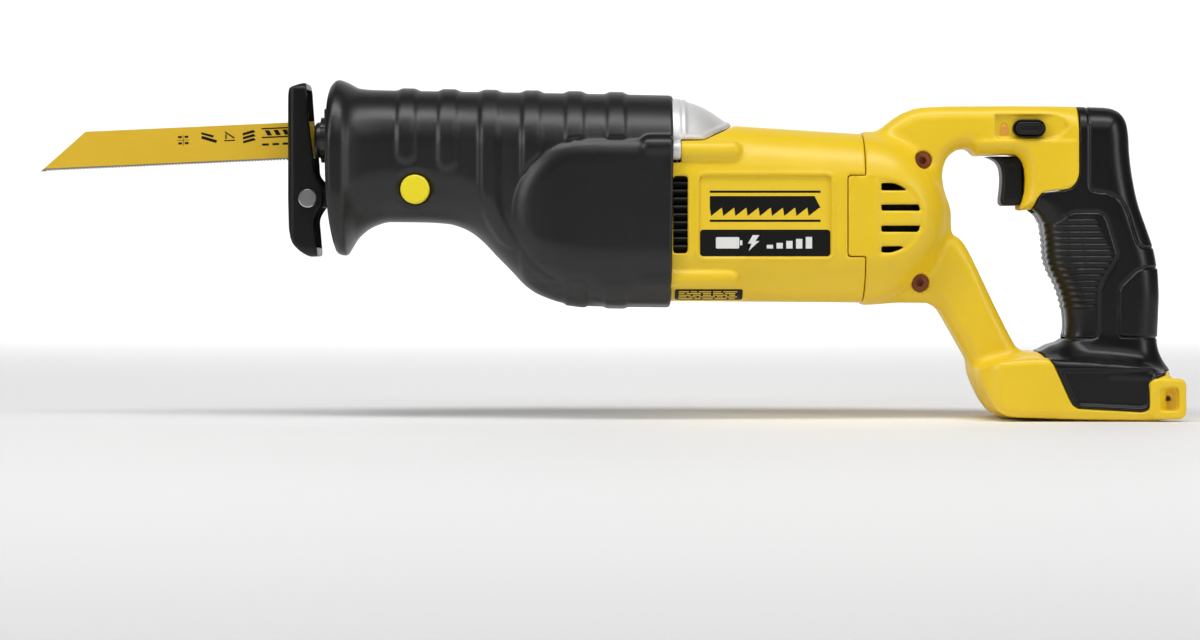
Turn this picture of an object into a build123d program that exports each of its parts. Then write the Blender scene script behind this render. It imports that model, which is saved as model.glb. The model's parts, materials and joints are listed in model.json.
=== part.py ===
"""Cordless reciprocating saw, built as separate pieces. All sizes are in millimetres.

X runs from the blade tip (negative) to the battery foot (positive), Y runs across the saw, and Z runs up
from the underside of the foot. The origin is under the middle of the whole saw, on that plane.
"""

import os
from math import atan, cos, pi, radians, sin, sqrt, tan

from build123d import *

os.makedirs("parts", exist_ok=True)

# ---- axes of the mechanism ----
spindle_z = 139.5  # reciprocating spindle and blade
motor_z = 101.5  # rotor, pinion and crank
crank_x = -10.5  # crank gear axis, where it meets the rotor axis
post_z = 110.0  # sliding post that carries the shoe
stroke = 28.6

# ---- clearances ----
fit_gap = 0.3  # between a casing and what sits in it
running_gap = 0.05  # between a shaft and its bush, on the radius
slide_gap = 0.25  # around a flat sliding piece
joint_gap = 0.05  # between two castings that are screwed together

# ---- stations along X ----
boot_front_x = -139.5
nose_x = -129.0  # front face of the gear case
bore_end_x = -94.0  # end of the bore that the blade clamp runs in
cavity_x = -90.0  # where the gear case turns hollow
case_rear_x = 24.0
boot_rear_x = 32.0
seam_x = 126.0  # motor housing meets the handle

# ---- blade ----
blade_height = 19.0
blade_thickness = 0.95
blade_reach = 138.97  # from the clamp's face to the tip
blade_slant = 23.5  # how far the back edge stops short of the tip
blade_cant = 2.6  # degrees, tip down
tooth_pitch = 1.6
tooth_depth = 0.85
tang_length = 13.5
tang_width = 12.4
tang_hole_r = 1.9
blade_gap = 0.7  # between the blade's shoulder and the clamp's face
blade_slot_gap = 0.1  # between the blade and each side of its slot
tang_room = 0.9  # above and below the tang, for the blade's slant

# ---- blade clamp and spindle ----
clamp_x = -147.6  # front face of the clamp
clamp_length = 23.6
clamp_r = 9.0
collar_r = 11.4
collar_front_x = -144.6
collar_length = 15.0
collar_grooves, collar_groove_r = 12, 0.7
lever_step, lever_thickness = 1.6, 3.8  # lever behind the collar's front face
lever_reach = 15.8  # from the spindle's axis to the end of the release lever
lever_width = 7.0
spindle_r = 8.0
spindle_rear_x = -13.0
spigot_r = 5.0
spigot_length = 7.0
clamp_bore_r = 17.5
bush_wall = 2.0
bush_length = 22.0
seal_r = 12.0

# ---- crank drive ----
gear_module = 1.8
pinion_teeth = 8
gear_teeth = 32
face_width = 6.0
crank_radius = stroke / 2
roller_r = 4.5
crank_pin_r = 3.0
pinion_bore_r = 3.0
counterweight_r = 20.0
yoke_bar = 2.6
yoke_front_y = -3.5  # face of the yoke next to the crank
yoke_thickness = 8.0
crank_shaft_r = 6.0
crank_bearing_r = 14.0
crank_bearing_width = 8.0
crank_bearing_balls = 9
race_wall = 2.2
gear_back_y = -15.0
crank_shaft_end_y = -29.0

# ---- shoe ----
pin_x = -150.0
pin_r = 3.0
pin_head_r = 4.6
pin_head_height = 1.8
pin_play = 0.2  # between the shoe and each pin head
shoe_height = 87.0
shoe_top_z = 168.0
shoe_width = 34.0
shoe_sheet = 2.6
shoe_face_x = -160.5
shoe_slot_width = 11.0
shoe_travel = 30.0
post_width = 20.0
post_height = 9.0
post_rear_x = -62.0
post_eye_r = 5.5
notch_half, notch_depth = 3.0, 2.5  # the button's notches in the post

# ---- rubber boot ----
boot_wall = 3.0
case_wall = 3.0
neck_top, neck_bottom, neck_half = 165.0, 98.0, 29.5
belly_top, belly_bottom, belly_half = 162.0, 55.5, 41.0
flange_top, flange_bottom, flange_half = 169.5, 81.5, 37.0
belly_corner = 34.0
shoe_button_x, shoe_button_z, shoe_button_r = -96.0, 114.3, 7.2
shoe_button_travel = 3.0
button_pocket = 9.0  # depth of the spring's pocket in the button

# ---- motor housing ----
housing_wall = 2.8
housing_low = belly_bottom + boot_wall + fit_gap
housing_half = belly_half - boot_wall - 2 * fit_gap
housing_corner = belly_corner - boot_wall - 1
housing_high = 147.0
housing_rear_low, housing_rear_high = 58.0, 142.0
housing_boss_end = 64.0
boss_r = 5.2
case_bosses = [(-32.0, 133.0), (32.0, 133.0), (-29.5, 70.5), (29.5, 70.5)]  # Y and Z of each screw boss
case_boss_x = 6.0
case_screw_r, case_screw_head_r, case_screw_head = 2.1, 3.6, 3.0
cover_thickness = 4.0
dome_low_z, dome_top_z = 138.8, 158.2
dome_knee_x, dome_tip_x, dome_tip_z = 47.0, 61.6, 145.9
grille_slots = 7

# ---- motor ----
shaft_r = 5.0
motor_bearing_r, motor_bearing_width = 13.0, 8.0
tail_r, tail_x = 4.0, 112.0
tail_bearing_r, tail_bearing_width = 11.0, 7.0
can_r, can_wall, can_front_x, can_length = 31.0, 2.5, 48.0, 50.0
magnet_thickness = 4.5
core_r = 23.0
armature_slots, slot_depth, slot_width = 12, 10.0, 5.0
fan_r, fan_front_x, fan_width, fan_blades = 32.0, 34.8, 10.0, 18
commutator_r, commutator_x, commutator_length, commutator_bars = 10.5, 99.0, 10.0, 24
end_plate_x, end_plate_length = 113.5, 8.5
air_holes, air_hole_r, air_hole_ring_r = 8, 5.5, 22.0  # through the end plate

# ---- handle ----
handle_half = 15.0  # half width of the handle's frame
grip_half = 17.5
inlay_depth, inlay_stand = 0.8, 0.6  # the black inlay's depth in the foot's side, and its height above it
grip_split_x = 234.3  # where the yellow top bar ends and the black grip begins
dome_r, dome_x = 41.0, 126.3
bar_top_z = 156.0
foot_half = 37.0
foot_top_z = 28.0
foot_rear_x = 286.0
lug_length = 17.7  # battery lugs behind the foot
shell_wall = 2.8
overmould = 2.6
bay_half = 31.0
bay_height = 17.0
bay_front_x = 204.0
rail_reach = 4.0
rail_height = 5.0
terminal_drop = 11.5
terminal_depth, terminal_half = 16.0, 16.0  # terminal block along X, and its half width
terminal_y = [-11.0, -4.0, 4.0, 11.0]
lead_r, lead_x, lead_y = 1.3, 228.0, 4.5
parting_gap = 0.1  # each shell stops this short of the middle plane

# ---- trigger, buttons and switch ----
trigger_half = 8.0
trigger_travel = 6.0
lock_x, lock_z = 209.5, 144.9
lock_length, lock_height = 14.0, 6.4
lock_stand, lock_travel = 0.5, 3.0  # the button's least height above each shell, and its travel
trigger_stem_r, trigger_stem_z = 2.8, 128.0
switch_front_x, switch_rear_x, switch_half = 214.2, 232.0, 8.0
switch_low_z, switch_high_z = 119.0, 138.5
switch_pin = 5.0

# ---- fasteners ----
shell_screw_head_r = 3.8
shell_screw_r = 1.9
screw_boss_r = 5.6
shell_screws = [(156.5, 129.0), (155.0, 68.0), (277.8, 11.0)]  # X and Z
shell_screw_head, shell_screw_length = 2.4, 24.0
socket_r, socket_depth = 1.6, 1.4


def write(part, name):
    part.label = name
    export_step(part, f"parts/{name}.step")


def x_section(x, low, high, half, corner):
    """A rounded rectangle across the saw at x."""
    with BuildSketch(Plane.YZ.offset(x), mode=Mode.PRIVATE) as section:
        with Locations((0, (low + high) / 2)):
            RectangleRounded(2 * half, high - low, min(corner, half - 0.5, (high - low) / 2 - 0.5))
    return section.sketch


def boot_sections(inset):
    """Sections of the boot's outer form, from the front flange to the rear edge, each taken in by inset."""
    slope = (belly_bottom - neck_bottom) / 5
    stations = [
        (boot_front_x, flange_bottom + 6, flange_top - 4, flange_half - 3, 30),
        (boot_front_x + 6, flange_bottom, flange_top, flange_half, 32),
        (boot_front_x + 18, neck_bottom - 4.5, neck_top + 0.8, neck_half + 1.5, 28),
        (boot_front_x + 32, neck_bottom, neck_top, neck_half, 27),
        (-82, neck_bottom, neck_top - 0.6, neck_half, 27),
        (-64, neck_bottom + slope, neck_top - 1, neck_half + 2.5, 28),
        (-42, belly_bottom - 1.3 * slope, belly_top + 1.4, belly_half - 3, belly_corner - 2),
        (-18, belly_bottom + 1.6, belly_top + 0.8, belly_half - 0.5, belly_corner),
        (boot_rear_x, belly_bottom, belly_top, belly_half, belly_corner),
    ]
    return [
        x_section(x, low + inset, high - inset, half - inset, corner - inset)
        for x, low, high, half, corner in stations
    ]


def block(x0, x1, y0, y1, z0, z1, mode=Mode.ADD):
    """A plain box between two corners."""
    with Locations(((x0 + x1) / 2, (y0 + y1) / 2, (z0 + z1) / 2)):
        Box(x1 - x0, y1 - y0, z1 - z0, mode=mode)


def rod_x(x0, x1, radius, z, y=0, mode=Mode.ADD):
    """A cylinder along X."""
    with Locations(Location(((x0 + x1) / 2, y, z), (0, 90, 0))):
        Cylinder(radius, x1 - x0, mode=mode)


def rod_y(y0, y1, radius, x, z, mode=Mode.ADD):
    """A cylinder along Y."""
    with Locations(Location((x, (y0 + y1) / 2, z), (90, 0, 0))):
        Cylinder(radius, y1 - y0, mode=mode)


def ring_x(x0, x1, outer, inner, z, y=0):
    """A ring about an axis along X, as a finished part."""
    with BuildPart() as ring:
        rod_x(x0, x1, outer, z, y)
        rod_x(x0 - 1, x1 + 1, inner, z, y, Mode.SUBTRACT)
    return ring.part


def ball_race(x0, width, outer, inner, count):
    """A ball bearing about the rotor's axis: two races and the balls that touch neither."""
    ring_wall = (outer - inner) * 0.3
    middle_r = (outer + inner) / 2
    ball_r = (outer - inner) * 0.16
    with BuildPart() as bearing:
        rod_x(x0, x0 + width, outer, motor_z)
        rod_x(x0 - 1, x0 + width + 1, outer - ring_wall, motor_z, mode=Mode.SUBTRACT)
        rod_x(x0, x0 + width, inner + ring_wall, motor_z)
        rod_x(x0 - 1, x0 + width + 1, inner, motor_z, mode=Mode.SUBTRACT)
        with Locations(Location((x0 + width / 2, 0, motor_z), (0, 90, 0))):
            with PolarLocations(middle_r, count):
                Sphere(ball_r)
    return bearing.part


# ======================= blade =======================
with BuildPart() as blade:
    half = blade_height / 2
    teeth = int((blade_reach - 2) / tooth_pitch)
    edge = [(-blade_gap, -half)]
    for tooth in range(teeth):
        root = -blade_gap - 0.6 - tooth * tooth_pitch
        edge += [(root, -half + tooth_depth), (root - 0.3 * tooth_pitch, -half)]
    edge += [(-blade_reach, -half), (blade_slant - blade_reach, half), (-blade_gap, half)]
    with BuildSketch(Plane.XZ):
        Polygon(*edge, align=None)
        with Locations((tang_length / 2 - 0.6, 0)):
            RectangleRounded(tang_length + 1, tang_width, 1.5)
        with Locations((tang_length - 6, 0)):
            Circle(tang_hole_r, mode=Mode.SUBTRACT)
    extrude(amount=blade_thickness / 2, both=True)
blade_place = Location((clamp_x, 0, spindle_z), (0, -blade_cant, 0))
write(blade_place * blade.part, "blade")

# ======================= blade clamp =======================
clamp_rear_x = clamp_x + clamp_length
with BuildPart() as clamp_body:
    rod_x(clamp_x, clamp_rear_x, clamp_r, spindle_z)
    slot_half = blade_thickness / 2 + blade_slot_gap
    slot_reach = tang_length + 0.6
    block(clamp_x - 1, clamp_x + slot_reach, -slot_half, slot_half,
          spindle_z - tang_width / 2 - tang_room, spindle_z + tang_width / 2 + tang_room, Mode.SUBTRACT)
    rod_x(clamp_rear_x - spigot_length, clamp_rear_x + 1, spigot_r, spindle_z, mode=Mode.SUBTRACT)
    chamfer(clamp_body.edges().filter_by(GeomType.CIRCLE).sort_by(Axis.X)[0], 1.2)
    pin_hole_x = clamp_x + tang_length - 6
    rod_y(slot_half, clamp_r + 1, tang_hole_r - 0.15, pin_hole_x, spindle_z, Mode.SUBTRACT)
write(clamp_body.part, "clamp_body")

with BuildPart() as clamp_pin:
    rod_y(blade_thickness / 2 + 0.05, clamp_r - 0.6, tang_hole_r - 0.2, pin_hole_x, spindle_z)
write(clamp_pin.part, "clamp_pin")

collar_bore_r = clamp_r + running_gap
with BuildPart() as clamp_collar:
    collar_rear_x = collar_front_x + collar_length
    rod_x(collar_front_x, collar_rear_x, collar_r, spindle_z)
    with Locations(Location((collar_front_x + 2.5, 0, spindle_z), (0, 90, 0))):
        with PolarLocations(collar_r, collar_grooves):
            Cylinder(collar_groove_r, collar_length + 5, mode=Mode.SUBTRACT)
    lever_x = collar_front_x + lever_step
    block(lever_x, lever_x + lever_thickness, -lever_width / 2, lever_width / 2,
          spindle_z + clamp_r + 1, spindle_z + lever_reach)
    rod_x(collar_front_x - 1, collar_rear_x + 1, collar_bore_r, spindle_z, mode=Mode.SUBTRACT)
    chamfer(clamp_collar.faces().sort_by(Axis.Z)[-1].edges(), 0.7)
write(clamp_collar.part, "clamp_collar")

# ======================= spindle and its bearings =======================
front_bush_x = cavity_x
rear_bush_x = -62.0
with BuildPart() as spindle:
    rod_x(clamp_rear_x, spindle_rear_x, spindle_r, spindle_z)
    rod_x(clamp_rear_x - spigot_length + 0.5, clamp_rear_x, spigot_r, spindle_z)
    chamfer(spindle.faces().sort_by(Axis.X)[-1].edges(), 0.8)
write(spindle.part, "spindle")

bush_bore_r = spindle_r + running_gap
bush_r = spindle_r + bush_wall
front_bush_end = front_bush_x + bush_length
rear_bush_end = rear_bush_x + bush_length
write(ring_x(front_bush_x, front_bush_end, bush_r, bush_bore_r, spindle_z), "front_bush")
write(ring_x(rear_bush_x, rear_bush_end, bush_r, bush_bore_r, spindle_z), "rear_bush")
seal_x = bore_end_x + 0.5
write(ring_x(seal_x, front_bush_x - 0.2, seal_r, bush_bore_r, spindle_z), "spindle_seal")

# ======================= crank gear, pinion and yoke =======================
pinion_angle = atan(pinion_teeth / gear_teeth)
gear_angle = pi / 2 - pinion_angle
cone_distance = gear_module * gear_teeth / 2 / sin(gear_angle)
addendum, dedendum = 0.75 * gear_module, 0.95 * gear_module
tooth_thickness = 0.41 * pi * gear_module
flank = tan(radians(20))


def cone_point(distance, height, cone_angle):
    """Radius and axial place of a point on a gear, at a cone distance and a height above the pitch cone."""
    return (distance * sin(cone_angle) + height * cos(cone_angle),
            distance * cos(cone_angle) - height * sin(cone_angle))


def tooth_section(scale, cone_angle):
    """A tooth's trapezoid across its length, for a gear about Z whose apex is the origin."""
    distance = scale * cone_distance
    root_r, root_z = cone_point(distance, -scale * dedendum, cone_angle)
    tip_r, tip_z = cone_point(distance, scale * addendum, cone_angle)
    root_half = scale * (tooth_thickness / 2 + dedendum * flank)
    tip_half = scale * (tooth_thickness / 2 - addendum * flank)
    base = Vector(sqrt(root_r**2 - root_half**2), 0, root_z)
    top = Vector(sqrt(tip_r**2 - tip_half**2), 0, tip_z)
    height = (top - base).length
    plane = Plane(origin=base, x_dir=(0, 1, 0), z_dir=Vector(0, 1, 0).cross(top - base))
    with BuildSketch(plane, mode=Mode.PRIVATE) as section:
        Polygon((-root_half, -0.3), (root_half, -0.3), (tip_half, height), (-tip_half, height), align=None)
    return section.sketch


def bevel_gear(teeth, cone_angle, back, bore_r, first_turn):
    """A straight bevel gear about Z, its apex at the origin and its flat back at back on Z."""
    inner_scale = 1 - face_width / cone_distance
    outer_r, outer_z = cone_point(cone_distance, -dedendum, cone_angle)
    inner_r, inner_z = cone_point(inner_scale * cone_distance, -inner_scale * dedendum, cone_angle)
    with BuildPart() as tooth:
        loft([tooth_section(1, cone_angle), tooth_section(inner_scale, cone_angle)], ruled=True)
    with BuildPart() as gear:
        with BuildSketch(Plane.XZ):
            Polygon((bore_r, inner_z), (inner_r, inner_z), (outer_r, outer_z), (outer_r - 0.5, back),
                    (bore_r, back), align=None)
        revolve(axis=Axis.Z)
        for turn in range(teeth):
            add(tooth.part.rotate(Axis.Z, first_turn + turn * 360 / teeth))
    return gear.part


apex = (crank_x, 0, motor_z)
gear_place = Plane(origin=apex, x_dir=(1, 0, 0), z_dir=(0, -1, 0)).location
pinion_place = Plane(origin=apex, x_dir=(0, -1, 0), z_dir=(1, 0, 0)).location
pin_x_rest = crank_x - crank_radius

with BuildPart() as crank_gear:
    add(gear_place * bevel_gear(gear_teeth, gear_angle, -gear_back_y, crank_shaft_r, 0))
    rod_y(gear_back_y - 1, gear_back_y + 10, crank_pin_r, pin_x_rest, motor_z, Mode.SUBTRACT)
write(crank_gear.part, "crank_gear")

inner_share = 1 - face_width / cone_distance  # cone distance at the inner end of the teeth, as a share
gear_face_y = -inner_share * (cone_distance * cos(gear_angle) + dedendum * sin(gear_angle))
roller_end_y = yoke_front_y - 0.4
with BuildPart() as crank_pin:
    rod_y(gear_back_y, roller_end_y, crank_pin_r, pin_x_rest, motor_z)
write(crank_pin.part, "crank_pin")

with BuildPart() as crank_roller:
    rod_y(gear_face_y + 0.2, roller_end_y, roller_r, pin_x_rest, motor_z)
    rod_y(gear_face_y - 1, roller_end_y + 1, crank_pin_r + running_gap, pin_x_rest, motor_z, Mode.SUBTRACT)
write(crank_roller.part, "crank_roller")

with BuildPart() as counterweight:
    rod_y(gear_face_y + 0.05, roller_end_y, counterweight_r, crank_x, motor_z)
    rod_y(gear_face_y - 1, roller_end_y + 1, crank_shaft_r + 1, crank_x, motor_z, Mode.SUBTRACT)
    block(crank_x - 30, crank_x + 4, -20, 20, motor_z - 40, motor_z + 40, Mode.SUBTRACT)
write(counterweight.part, "counterweight")

with BuildPart() as crank_shaft:
    rod_y(crank_shaft_end_y, gear_face_y, crank_shaft_r, crank_x, motor_z)
    chamfer(crank_shaft.faces().sort_by(Axis.Y)[0].edges(), 0.6)
write(crank_shaft.part, "crank_shaft")

crank_bearing_y = gear_back_y - 1.5 - crank_bearing_width
with BuildPart() as crank_bearing:
    bearing_end_y = crank_bearing_y + crank_bearing_width
    inner_race_r = crank_shaft_r + race_wall
    outer_race_r = crank_bearing_r - race_wall
    rod_y(crank_bearing_y, bearing_end_y, crank_bearing_r, crank_x, motor_z)
    rod_y(crank_bearing_y - 1, bearing_end_y + 1, outer_race_r, crank_x, motor_z, Mode.SUBTRACT)
    rod_y(crank_bearing_y, bearing_end_y, inner_race_r, crank_x, motor_z)
    rod_y(crank_bearing_y - 1, bearing_end_y + 1, crank_shaft_r + running_gap, crank_x, motor_z,
          Mode.SUBTRACT)
    with Locations(Location((crank_x, crank_bearing_y + crank_bearing_width / 2, motor_z), (90, 0, 0))):
        with PolarLocations((inner_race_r + outer_race_r) / 2, crank_bearing_balls):
            Sphere((outer_race_r - inner_race_r) / 2 - 0.1)
write(crank_bearing.part, "crank_bearing")

yoke_half = roller_r + slide_gap + yoke_bar
yoke_rear_y = yoke_front_y + yoke_thickness
with BuildPart() as yoke:
    slot_height = 2 * (crank_radius + roller_r + 0.5)
    block(pin_x_rest - yoke_half, pin_x_rest + yoke_half, yoke_front_y, yoke_rear_y,
          motor_z - slot_height / 2 - 3, spindle_z)
    block(pin_x_rest - yoke_half, pin_x_rest + yoke_half, -spindle_r - 3, spindle_r + 3,
          spindle_z - spindle_r, spindle_z + spindle_r + 2)
    with Locations((pin_x_rest, 0, motor_z)):
        Box(2 * (roller_r + slide_gap), 40, slot_height, mode=Mode.SUBTRACT)
    rod_x(pin_x_rest - 20, pin_x_rest + 20, spindle_r, spindle_z, mode=Mode.SUBTRACT)
write(yoke.part, "yoke")

# ======================= shoe =======================
shoe_low_z = shoe_top_z - shoe_height
ear_r = 9.0
with BuildPart() as shoe:
    face_x = shoe_face_x
    side = [
        (face_x + 3.5, shoe_top_z), (face_x + 10.5, shoe_top_z), (face_x + 13.5, post_z + ear_r + 3),
        (pin_x + ear_r - 1, post_z + ear_r - 2), (pin_x + ear_r - 1, post_z - ear_r + 2),
        (face_x + 14.0, post_z - ear_r - 3), (face_x + 15.0, shoe_low_z), (face_x + 9.5, shoe_low_z),
        (face_x, shoe_low_z + 14), (face_x, shoe_top_z - 10),
    ]
    radii = [3, 1.5, 5, 4, 4, 4, 2, 4.5, 20, 8]
    with BuildSketch(Plane.XZ):
        with BuildLine():
            FilletPolyline(*side, radius=radii, close=True)
        make_face()
    extrude(amount=shoe_width / 2, both=True)
    block(face_x + shoe_sheet + 1.2, face_x + 40, -shoe_width / 2 + shoe_sheet, shoe_width / 2 - shoe_sheet,
          shoe_low_z + 4.5, shoe_top_z - 3, Mode.SUBTRACT)
    block(face_x - 5, face_x + 10, -shoe_slot_width / 2, shoe_slot_width / 2,
          post_z + 9, shoe_top_z - 9, Mode.SUBTRACT)
    rod_y(-shoe_width, shoe_width, pin_r + running_gap, pin_x, post_z, Mode.SUBTRACT)
write(shoe.part, "shoe")

with BuildPart() as shoe_post:
    post_half = post_width / 2
    block(pin_x + 6, post_rear_x, -post_half, post_half, post_z - post_height / 2, post_z + post_height / 2)
    rod_y(-post_half, post_half, post_eye_r, pin_x, post_z)
    block(pin_x, pin_x + 8, -post_half, post_half, post_z - 4, post_z + 4)
    rod_y(-post_width, post_width, pin_r + running_gap, pin_x, post_z, Mode.SUBTRACT)
    for notch in range(3):
        notch_x = shoe_button_x + notch * shoe_travel / 2
        block(notch_x - notch_half, notch_x + notch_half, -post_width, -post_half + notch_depth,
              post_z - post_height, post_z + post_height, Mode.SUBTRACT)
write(shoe_post.part, "shoe_post")

with BuildPart() as shoe_pin:
    rod_y(-shoe_width / 2 - pin_play, shoe_width / 2 + pin_play, pin_r, pin_x, post_z)
    for side_sign in (-1, 1):
        head_y = side_sign * (shoe_width / 2 + pin_play + pin_head_height / 2)
        with Locations(Location((pin_x, head_y, post_z), (90, 0, 0))):
            Cylinder(pin_head_r, pin_head_height)
    chamfer(shoe_pin.edges().filter_by(GeomType.CIRCLE).group_by(Axis.Y)[0], 0.5)
    chamfer(shoe_pin.edges().filter_by(GeomType.CIRCLE).group_by(Axis.Y)[-1], 0.5)
write(shoe_pin.part, "shoe_pin")

# ======================= gear case =======================
case_inset = boot_wall + 2 * fit_gap
seat_inset = 0.2  # from the case's outer face to the seats inside it, which keep within its form
channel_half_y = post_width / 2 + slide_gap
channel_half_z = post_height / 2 + slide_gap


def case_form(inset, x0, x1, mode=Mode.ADD):
    """The gear case's outer form taken in by inset, between two stations."""
    with BuildPart(mode=Mode.PRIVATE) as form:
        loft(boot_sections(inset), ruled=True)
        block(x0, x1, -60, 60, 0, 200, Mode.INTERSECT)
    add(form.part, mode=mode)


with BuildPart() as gear_case:
    case_form(case_inset, nose_x, case_rear_x)
    case_form(case_inset + case_wall, cavity_x, case_rear_x + 1, Mode.SUBTRACT)
    with BuildPart(mode=Mode.PRIVATE) as case_seats:
        rod_x(cavity_x - 1, rear_bush_end, bush_r + 3, spindle_z)
        block(cavity_x - 1, post_rear_x + 3, -channel_half_y - 2.5, channel_half_y + 2.5,
              post_z - channel_half_z - 2.5, spindle_z)
        rod_y(-(belly_half - case_inset - 1), crank_bearing_y + crank_bearing_width, crank_bearing_r + 3,
              crank_x, motor_z)
        case_form(case_inset + seat_inset, nose_x, case_rear_x, Mode.INTERSECT)
    add(case_seats.part)
    for boss_y, boss_z in case_bosses:
        rod_x(case_boss_x, case_rear_x, boss_r, boss_z, boss_y)
    rod_x(bore_end_x - 1, rear_bush_end + 1, bush_r + 0.02, spindle_z, mode=Mode.SUBTRACT)
    rod_x(bore_end_x - 0.1, front_bush_x, seal_r + 0.02, spindle_z, mode=Mode.SUBTRACT)
    rod_x(nose_x - 1, bore_end_x, clamp_bore_r, spindle_z, mode=Mode.SUBTRACT)
    block(nose_x - 1, post_rear_x + 4, -channel_half_y, channel_half_y,
          post_z - channel_half_z, post_z + channel_half_z, Mode.SUBTRACT)
    rod_y(crank_bearing_y, gear_back_y + 2, crank_bearing_r + 0.02, crank_x, motor_z, Mode.SUBTRACT)
    rod_y(crank_shaft_end_y - 1, 0, crank_shaft_r + 1.5, crank_x, motor_z, Mode.SUBTRACT)
    rod_y(-60, -channel_half_y + 0.1, shoe_button_r + slide_gap, shoe_button_x, shoe_button_z, Mode.SUBTRACT)
    for boss_y, boss_z in case_bosses:
        rod_x(case_boss_x + 3, case_rear_x + 1, case_screw_r + 0.05, boss_z, boss_y, Mode.SUBTRACT)
write(gear_case.part, "gear_case")

# the rear cover closes the gear case, holds the rotor's front bearing and carries the dome on top
cover_x = case_rear_x + joint_gap
cover_rear_x = cover_x + cover_thickness
dome_side = [
    (cover_x, dome_low_z), (dome_knee_x, dome_low_z), (dome_tip_x, dome_tip_z), (55.0, 150.6),
    (45.5, 155.6), (36.0, dome_top_z), (cover_x, dome_top_z),
]
dome_plan = [
    (cover_x, -33), (38, -32), (48, -27), (56, -18), (dome_tip_x, -7),
    (dome_tip_x, 7), (56, 18), (48, 27), (38, 32), (cover_x, 33),
]


def cover_section():
    return x_section(cover_x, belly_bottom + case_inset, belly_top - case_inset, belly_half - case_inset,
                     belly_corner - case_inset)


def dome_form(gap):
    """The dome's solid, grown by gap below and behind."""
    with BuildPart() as dome:
        extrude(cover_section(), amount=dome_tip_x)
        with BuildSketch(Plane.XZ):
            Polygon(*dome_side, align=None)
            if gap:
                offset(amount=gap, kind=Kind.INTERSECTION)
        extrude(amount=60, both=True, mode=Mode.INTERSECT)
        with BuildSketch(Plane.XY):
            Polygon(*dome_plan, align=None)
            if gap:
                offset(amount=gap, kind=Kind.INTERSECTION)
        extrude(amount=200, mode=Mode.INTERSECT)
    return dome.part


with BuildPart() as gear_case_cover:
    extrude(cover_section(), amount=cover_thickness)
    rod_x(cover_x - 3, cover_rear_x + 4, motor_bearing_r + 3, motor_z)
    add(dome_form(0))
    for boss_y, boss_z in case_bosses:
        rod_x(cover_x, cover_rear_x, boss_r, boss_z, boss_y)
    rod_x(cover_x - 0.5, cover_rear_x + 5, motor_bearing_r + 0.02, motor_z, mode=Mode.SUBTRACT)
    rod_x(cover_x - 5, cover_rear_x + 5, motor_bearing_r - 2.5, motor_z, mode=Mode.SUBTRACT)
    for boss_y, boss_z in case_bosses:
        rod_x(cover_x - 1, cover_rear_x + 40, case_screw_r + 0.3, boss_z, boss_y, Mode.SUBTRACT)
write(gear_case_cover.part, "gear_case_cover")

# ======================= rubber boot =======================
with BuildPart() as boot:
    loft(boot_sections(0), ruled=True)
    for boss_y, boss_z in case_bosses:
        rod_x(case_boss_x - fit_gap - boot_wall, boot_rear_x, boss_r + fit_gap + boot_wall, boss_z, boss_y)
    with BuildPart(mode=Mode.PRIVATE) as boot_hollow:
        loft(boot_sections(boot_wall), ruled=True)
        block(boot_front_x - 1, boot_rear_x + 1, -80, 80, 0, 200, Mode.INTERSECT)
        for boss_y, boss_z in case_bosses:
            rod_x(case_boss_x - fit_gap, boot_rear_x + 1, boss_r + fit_gap, boss_z, boss_y)
    add(boot_hollow.part, mode=Mode.SUBTRACT)
    rod_y(-60, 0, shoe_button_r + fit_gap, shoe_button_x, shoe_button_z, Mode.SUBTRACT)
write(boot.part, "boot")

# ======================= shoe release button =======================
button_face_y = -(neck_half + 0.6)
button_seat_y = -(channel_half_y + shoe_button_travel + 0.5)
with BuildPart() as shoe_button:
    rod_y(button_face_y, button_seat_y, shoe_button_r, shoe_button_x, shoe_button_z)
    fillet(shoe_button.faces().sort_by(Axis.Y)[0].edges(), 1.0)
    rod_y(button_seat_y - button_pocket, button_seat_y + 1, shoe_button_r - 2.2,
          shoe_button_x, shoe_button_z, Mode.SUBTRACT)
write(shoe_button.part, "shoe_button")


def coil_spring(length, radius, wire_r, pitch):
    """A coil spring along +Z from the origin, as a finished part."""
    with BuildPart() as spring:
        with BuildLine() as turns:
            Helix(pitch, length - 2 * wire_r, radius, center=(0, 0, wire_r))
        with BuildSketch(Plane(origin=turns.line @ 0, z_dir=turns.line % 0)):
            Circle(wire_r)
        sweep(is_frenet=True)
    return spring.part


button_spring_length = -channel_half_y - (button_seat_y - button_pocket) - 0.3
button_spring_place = Plane(
    origin=(shoe_button_x, button_seat_y - button_pocket + 0.1, shoe_button_z),
    x_dir=(1, 0, 0), z_dir=(0, 1, 0)).location
button_spring = button_spring_place * coil_spring(button_spring_length, 3.6, 0.4, 1.9)
write(button_spring, "shoe_button_spring")

# ======================= motor housing =======================
housing_front_x = cover_rear_x + fit_gap


def housing_form(inset, x0, x1):
    """The motor housing's outer form taken in by inset, between two stations."""
    rise = (x0 - housing_front_x) / (seam_x - housing_front_x)
    fall = (x1 - housing_front_x) / (seam_x - housing_front_x)
    ends = []
    for x, share in ((x0, rise), (x1, fall)):
        low = housing_low + share * (housing_rear_low - housing_low)
        high = housing_high + share * (housing_rear_high - housing_high)
        ends.append(x_section(x, low + inset, high - inset, housing_half - inset, housing_corner - inset))
    with BuildPart() as form:
        loft(ends, ruled=True)
    return form.part


label_low_z, label_high_z = 81.0, 120.5
label_front_x, label_rear_x = 44.5, 109.0
label_floor_y = housing_half - 1.7
grille_front_x, grille_rear_x = 31.8, 38.6
grille_low_z, grille_high_z = 83.0, 120.5
tab_front_x = seam_x - 8.8
tab_low_z, tab_high_z = 80.8, 121.2

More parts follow.
